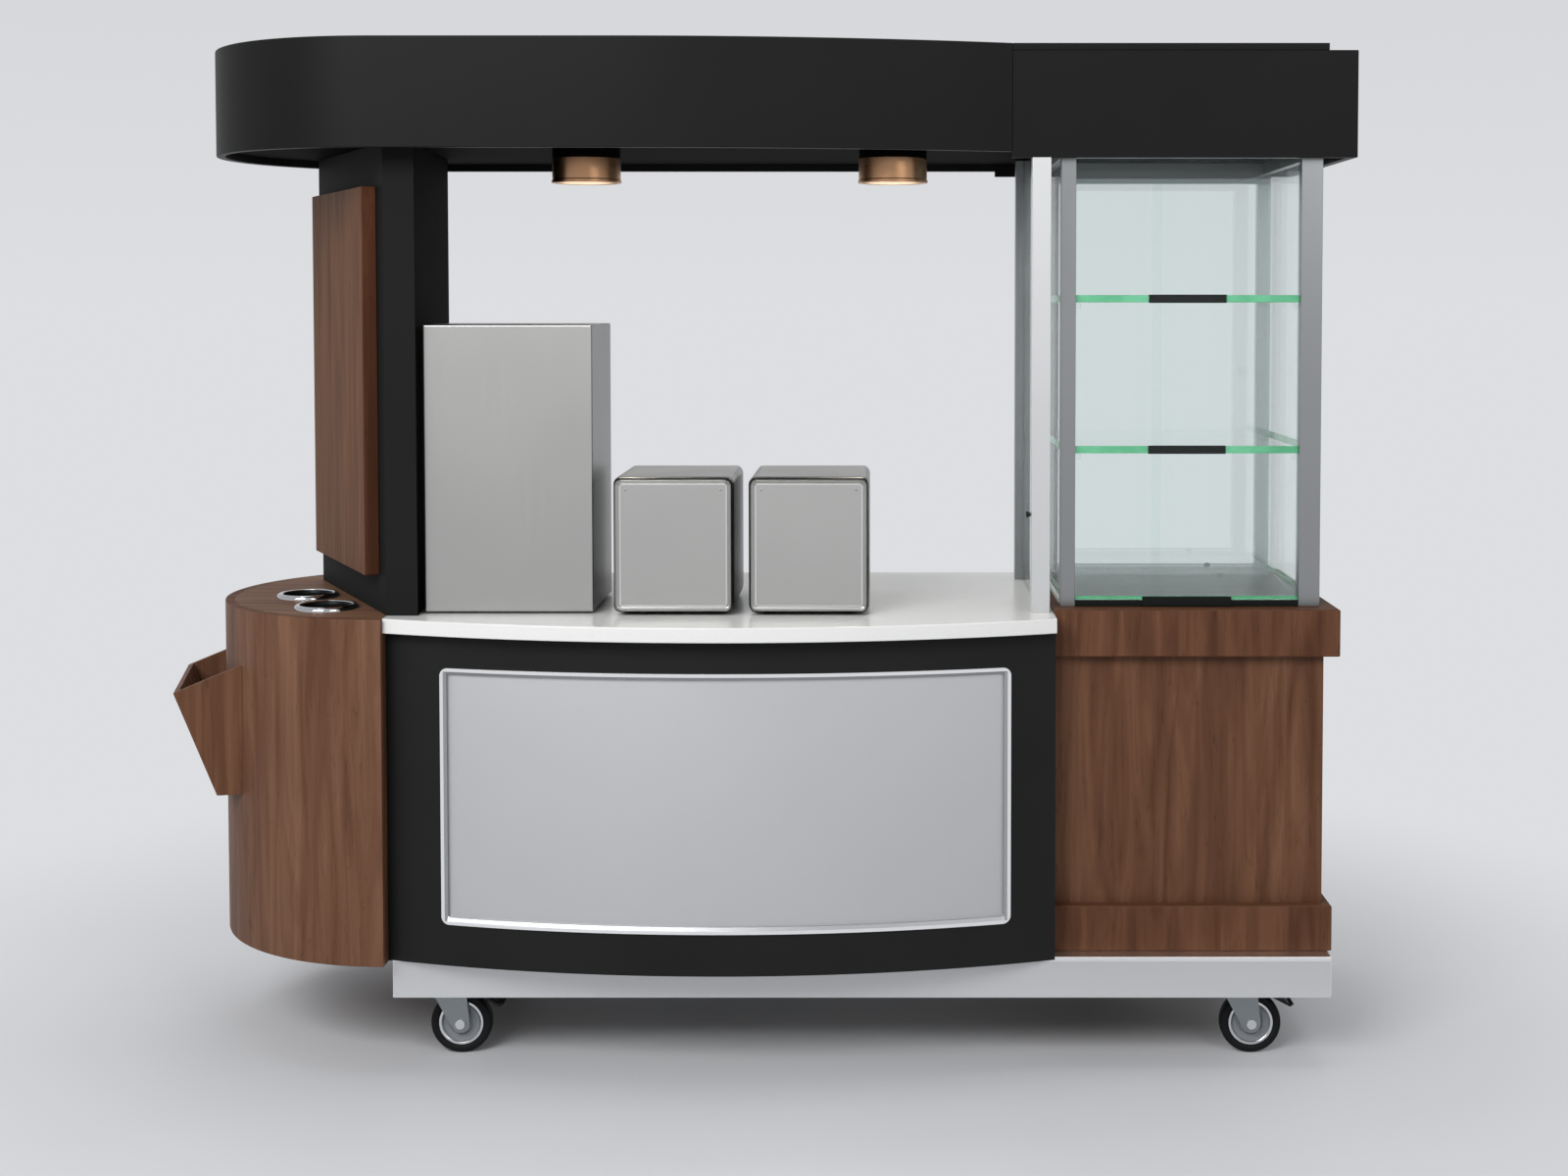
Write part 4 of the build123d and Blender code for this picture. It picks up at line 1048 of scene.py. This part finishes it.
# Half of each section, from the axle's side outwards or inwards, and its mirror image.
half_tyre = [
    (47.2, 14.5),
    (48.5, 15.6),
    (56.5, 16),
    (59.5, 15),
    (61.6, 12.2),
    (62.4, 8),
    (62.5, 3),
]
tyre_section = half_tyre + [(r, -y) for r, y in reversed(half_tyre)]
half_wheel = [
    (6.2, 18.4),
    (12, 18.4),
    (13, 17.6),
    (14.5, 9),
    (24, 8),
    (25, 10.5),
    (28, 10.5),
    (29, 8),
    (36.5, 8),
    (39, 13),
    (41, 14.4),
    (45.2, 14.4),
    (46.9, 12.6),
]
wheel_section = half_wheel + [(r, -y) for r, y in reversed(half_wheel)]
tyre = spun("tyre", tyre_section, axle, (0, 1, 0), 64)
wheel = spun("wheel", wheel_section, axle, (0, 1, 0), 64)
dress(tyre, tyre_rubber)
dress(wheel, wheel_nylon)
RIM_FROM = 39.5 * MM


def on_rim(face):
    """True for a face of the wheel's bright rim."""
    return math.hypot(face.center.x - axle.x, face.center.z - axle.z) > RIM_FROM


dress_faces(wheel, rim_steel, on_rim)
smooth(tyre, 50)
smooth(wheel, 30)
print("tyre faces:", len(tyre.data.polygons), "wheel faces:", len(wheel.data.polygons))


# %% Copy both to the four corners
def copy_to(piece, name, shift):
    """A copy with its own mesh, moved in its mesh."""
    select_only(piece)
    bpy.ops.object.duplicate()
    made = bpy.context.object
    made.name = name
    made.data.name = name
    bpy.ops.transform.translate(value=shift)
    bpy.ops.object.transform_apply(location=True, rotation=True, scale=True)
    return made


for corner, (low, high) in wheel_nodes.items():
    shift = (low + high) / 2 - axle
    settle(copy_to(tyre, f"tyre_{corner}", shift), f"caster_tyre_{corner}")
    settle(copy_to(wheel, f"wheel_{corner}", shift), f"caster_wheel_{corner}")
for first in (tyre, wheel):
    bpy.data.objects.remove(first)
print("wheels:", len(wheel_nodes))

# %% Forks and pedals
# The axle's two heads stand out from the fork, and they are polished.
AXLE_HEAD_HIGH = 5 * MM
for corner in wheel_nodes:
    fork = eased(f"caster_fork_{corner}", zinc_steel, 0.8)
    low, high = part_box(f"caster_fork_{corner}")
    front, rear = low.y + AXLE_HEAD_HIGH - MM, high.y - AXLE_HEAD_HIGH + MM
    dress_faces(fork, rim_steel, lambda face: not front < face.center.y < rear)
    print(fork.name, "faces:", len(fork.data.polygons))
for corner in ("fl", "fr"):
    pedal = eased(f"brake_pedal_{corner}", black_plastic, 0.8)
    print(pedal.name, "faces:", len(pedal.data.polygons))

# %% [markdown]
# ## Floor, light and camera
#
# The stage is plain: one pale floor that fades into the background a few metres away, so no
# horizon shows. The light is a soft sky that is darker near the horizon, one wide lamp from the
# upper left, a weaker one from the right and one from above. They give the curved faces their
# slow change of tone. The two downlights each get a small warm lamp of their own.

# %% Floor
HORIZON, ZENITH = "dddee1", "cfd0d3"
FLOOR_REACH, FADE_FROM, FADE_TO = 60, 0.7, 2.7


def fade_out(material, shader, place, colour, near, far):
    """Blends a floor into the background colour with distance from the cart."""
    reach = add(material, "ShaderNodeVectorMath", {0: place}, operation="LENGTH")
    fade = add(
        material,
        "ShaderNodeMapRange",
        {"Value": reach, "From Min": near, "From Max": far},
        interpolation_type="SMOOTHSTEP",
    )
    glow = add(material, "ShaderNodeEmission", {"Color": linear(colour), "Strength": 1.0})
    blend = add(material, "ShaderNodeMixShader", {0: fade, 1: shader, 2: glow})
    wire(material, material.node_tree.nodes["Material Output"], {"Surface": blend})


floor_paint, floor_shader, place = new_material(
    "pale_studio_floor", {"Base Color": linear("d1d2d5"), "Roughness": 0.6, "IOR": 1.4}
)
grit = add(
    floor_paint, "ShaderNodeTexNoise", {"Vector": place, "Scale": per_metre(800), "Detail": 2.0}
)
shade = add(floor_paint, "ShaderNodeValToRGB", {"Fac": grit}, [(0.3, "cfd0d3"), (0.7, "d3d4d7")])
wire(floor_paint, floor_shader, {"Base Color": shade})
fade_out(floor_paint, floor_shader, place, HORIZON, FADE_FROM, FADE_TO)
select_only()
bpy.ops.mesh.primitive_circle_add(vertices=96, radius=FLOOR_REACH, fill_type="NGON")
floor = bpy.context.object
floor.name = "studio_floor"
dress(floor, floor_paint)
print("floor is ready")

# %% [markdown]
# The world is seen in two ways. What the camera, glass and gloss see is a pale backdrop that
# meets the floor's colour at the horizon. What lights the matt faces is the sky itself, which
# is much weaker, so the lamps can shape the cart.

# %% Sky
world = bpy.data.worlds.new("studio")
bpy.context.scene.world = world
world.use_nodes = True
sky = world.node_tree.nodes["Background"]
way = add(world, "ShaderNodeTexCoord", {}).outputs["Generated"]
height = add(world, "ShaderNodeSeparateXYZ", {"Vector": way}).outputs["Z"]
light = add(world, "ShaderNodeValToRGB", {"Fac": height}, [(0.0, "94969a"), (0.6, "f2f4f8")])
wire(world, sky, {"Color": light, "Strength": 0.37})
backdrop = add(world, "ShaderNodeValToRGB", {"Fac": height}, [(0.0, HORIZON), (0.3, ZENITH)])
seen = add(world, "ShaderNodeBackground", {"Color": backdrop, "Strength": 1.0})
path = add(world, "ShaderNodeLightPath", {})
direct = add(
    world,
    "ShaderNodeMath",
    {0: path.outputs["Is Camera Ray"], 1: path.outputs["Is Transmission Ray"]},
    operation="MAXIMUM",
)
shown = add(
    world, "ShaderNodeMath", {0: direct, 1: path.outputs["Is Glossy Ray"]}, operation="MAXIMUM"
)
both = add(world, "ShaderNodeMixShader", {0: shown, 1: sky, 2: seen})
wire(world, world.node_tree.nodes["World Output"], {"Surface": both})
print("sky is ready")

# %% Lamps
COUNTER_MIDDLE = Vector((0, 0, 1.0))
# Each wide lamp: its place, its width and height in metres, and its watts.
SOFT_LAMPS = {
    "key_upper_left": ((-2.4, -5.0, 4.2), 3.4, 2.6, 300),
    "fill_right": ((3.0, -5.0, 3.6), 2.6, 2.6, 66),
    "top": ((0, 0.6, 5.0), 4.0, 3.0, 80),
}
DOWNLIGHT_WATTS, DOWNLIGHT_CONE = 4, 84


def place_in_scene(name, data, place):
    """Puts a lamp or a camera in the scene."""
    made = bpy.data.objects.new(name, data)
    bpy.context.scene.collection.objects.link(made)
    made.location = place
    return made


for name, (place, width, high, watts) in SOFT_LAMPS.items():
    data = bpy.data.lights.new(name, "AREA")
    data.shape = "RECTANGLE"
    data.size = width
    data.size_y = high
    data.energy = watts
    lamp = place_in_scene(name, data, place)
    lamp.rotation_euler = (COUNTER_MIDDLE - Vector(place)).to_track_quat("-Z", "Y").to_euler()
    lamp.visible_camera = False
for number, (x, y, z) in enumerate(can_places):
    data = bpy.data.lights.new(f"downlight_{number}", "SPOT")
    data.energy = DOWNLIGHT_WATTS
    data.color = linear("fff3e2")[:3]
    data.spot_size = math.radians(DOWNLIGHT_CONE)
    data.spot_blend = 0.8
    data.shadow_soft_size = 0.04
    place_in_scene(data.name, data, (x, y, z - 2 * MM))

# %% [markdown]
# The camera stands where the photograph was taken from, at eye height and 4.6 metres in front of
# the cart's middle. The photograph's camera was level. This one is pitched down a little, which
# needs less shift for the same framing and keeps the cart in the picture from other sides.

# %% Camera
CAMERA_PLACE = (0.279, -4.5578, 1.5398)
PITCH, LENS, SENSOR = 2.5, 49.18, 36.0
SHIFT_X, SHIFT_Y = -0.0607, -0.1227
camera_data = bpy.data.cameras.new("camera")
camera_data.sensor_fit = "HORIZONTAL"
camera_data.sensor_width = SENSOR
camera_data.lens = LENS
camera_data.shift_x = SHIFT_X
camera_data.shift_y = SHIFT_Y
camera = place_in_scene("camera", camera_data, CAMERA_PLACE)
camera.rotation_euler = Euler((math.radians(90 - PITCH), 0, 0))
bpy.context.scene.camera = camera
bpy.context.scene.view_settings.view_transform = "Standard"
print("camera at", tuple(camera.location))
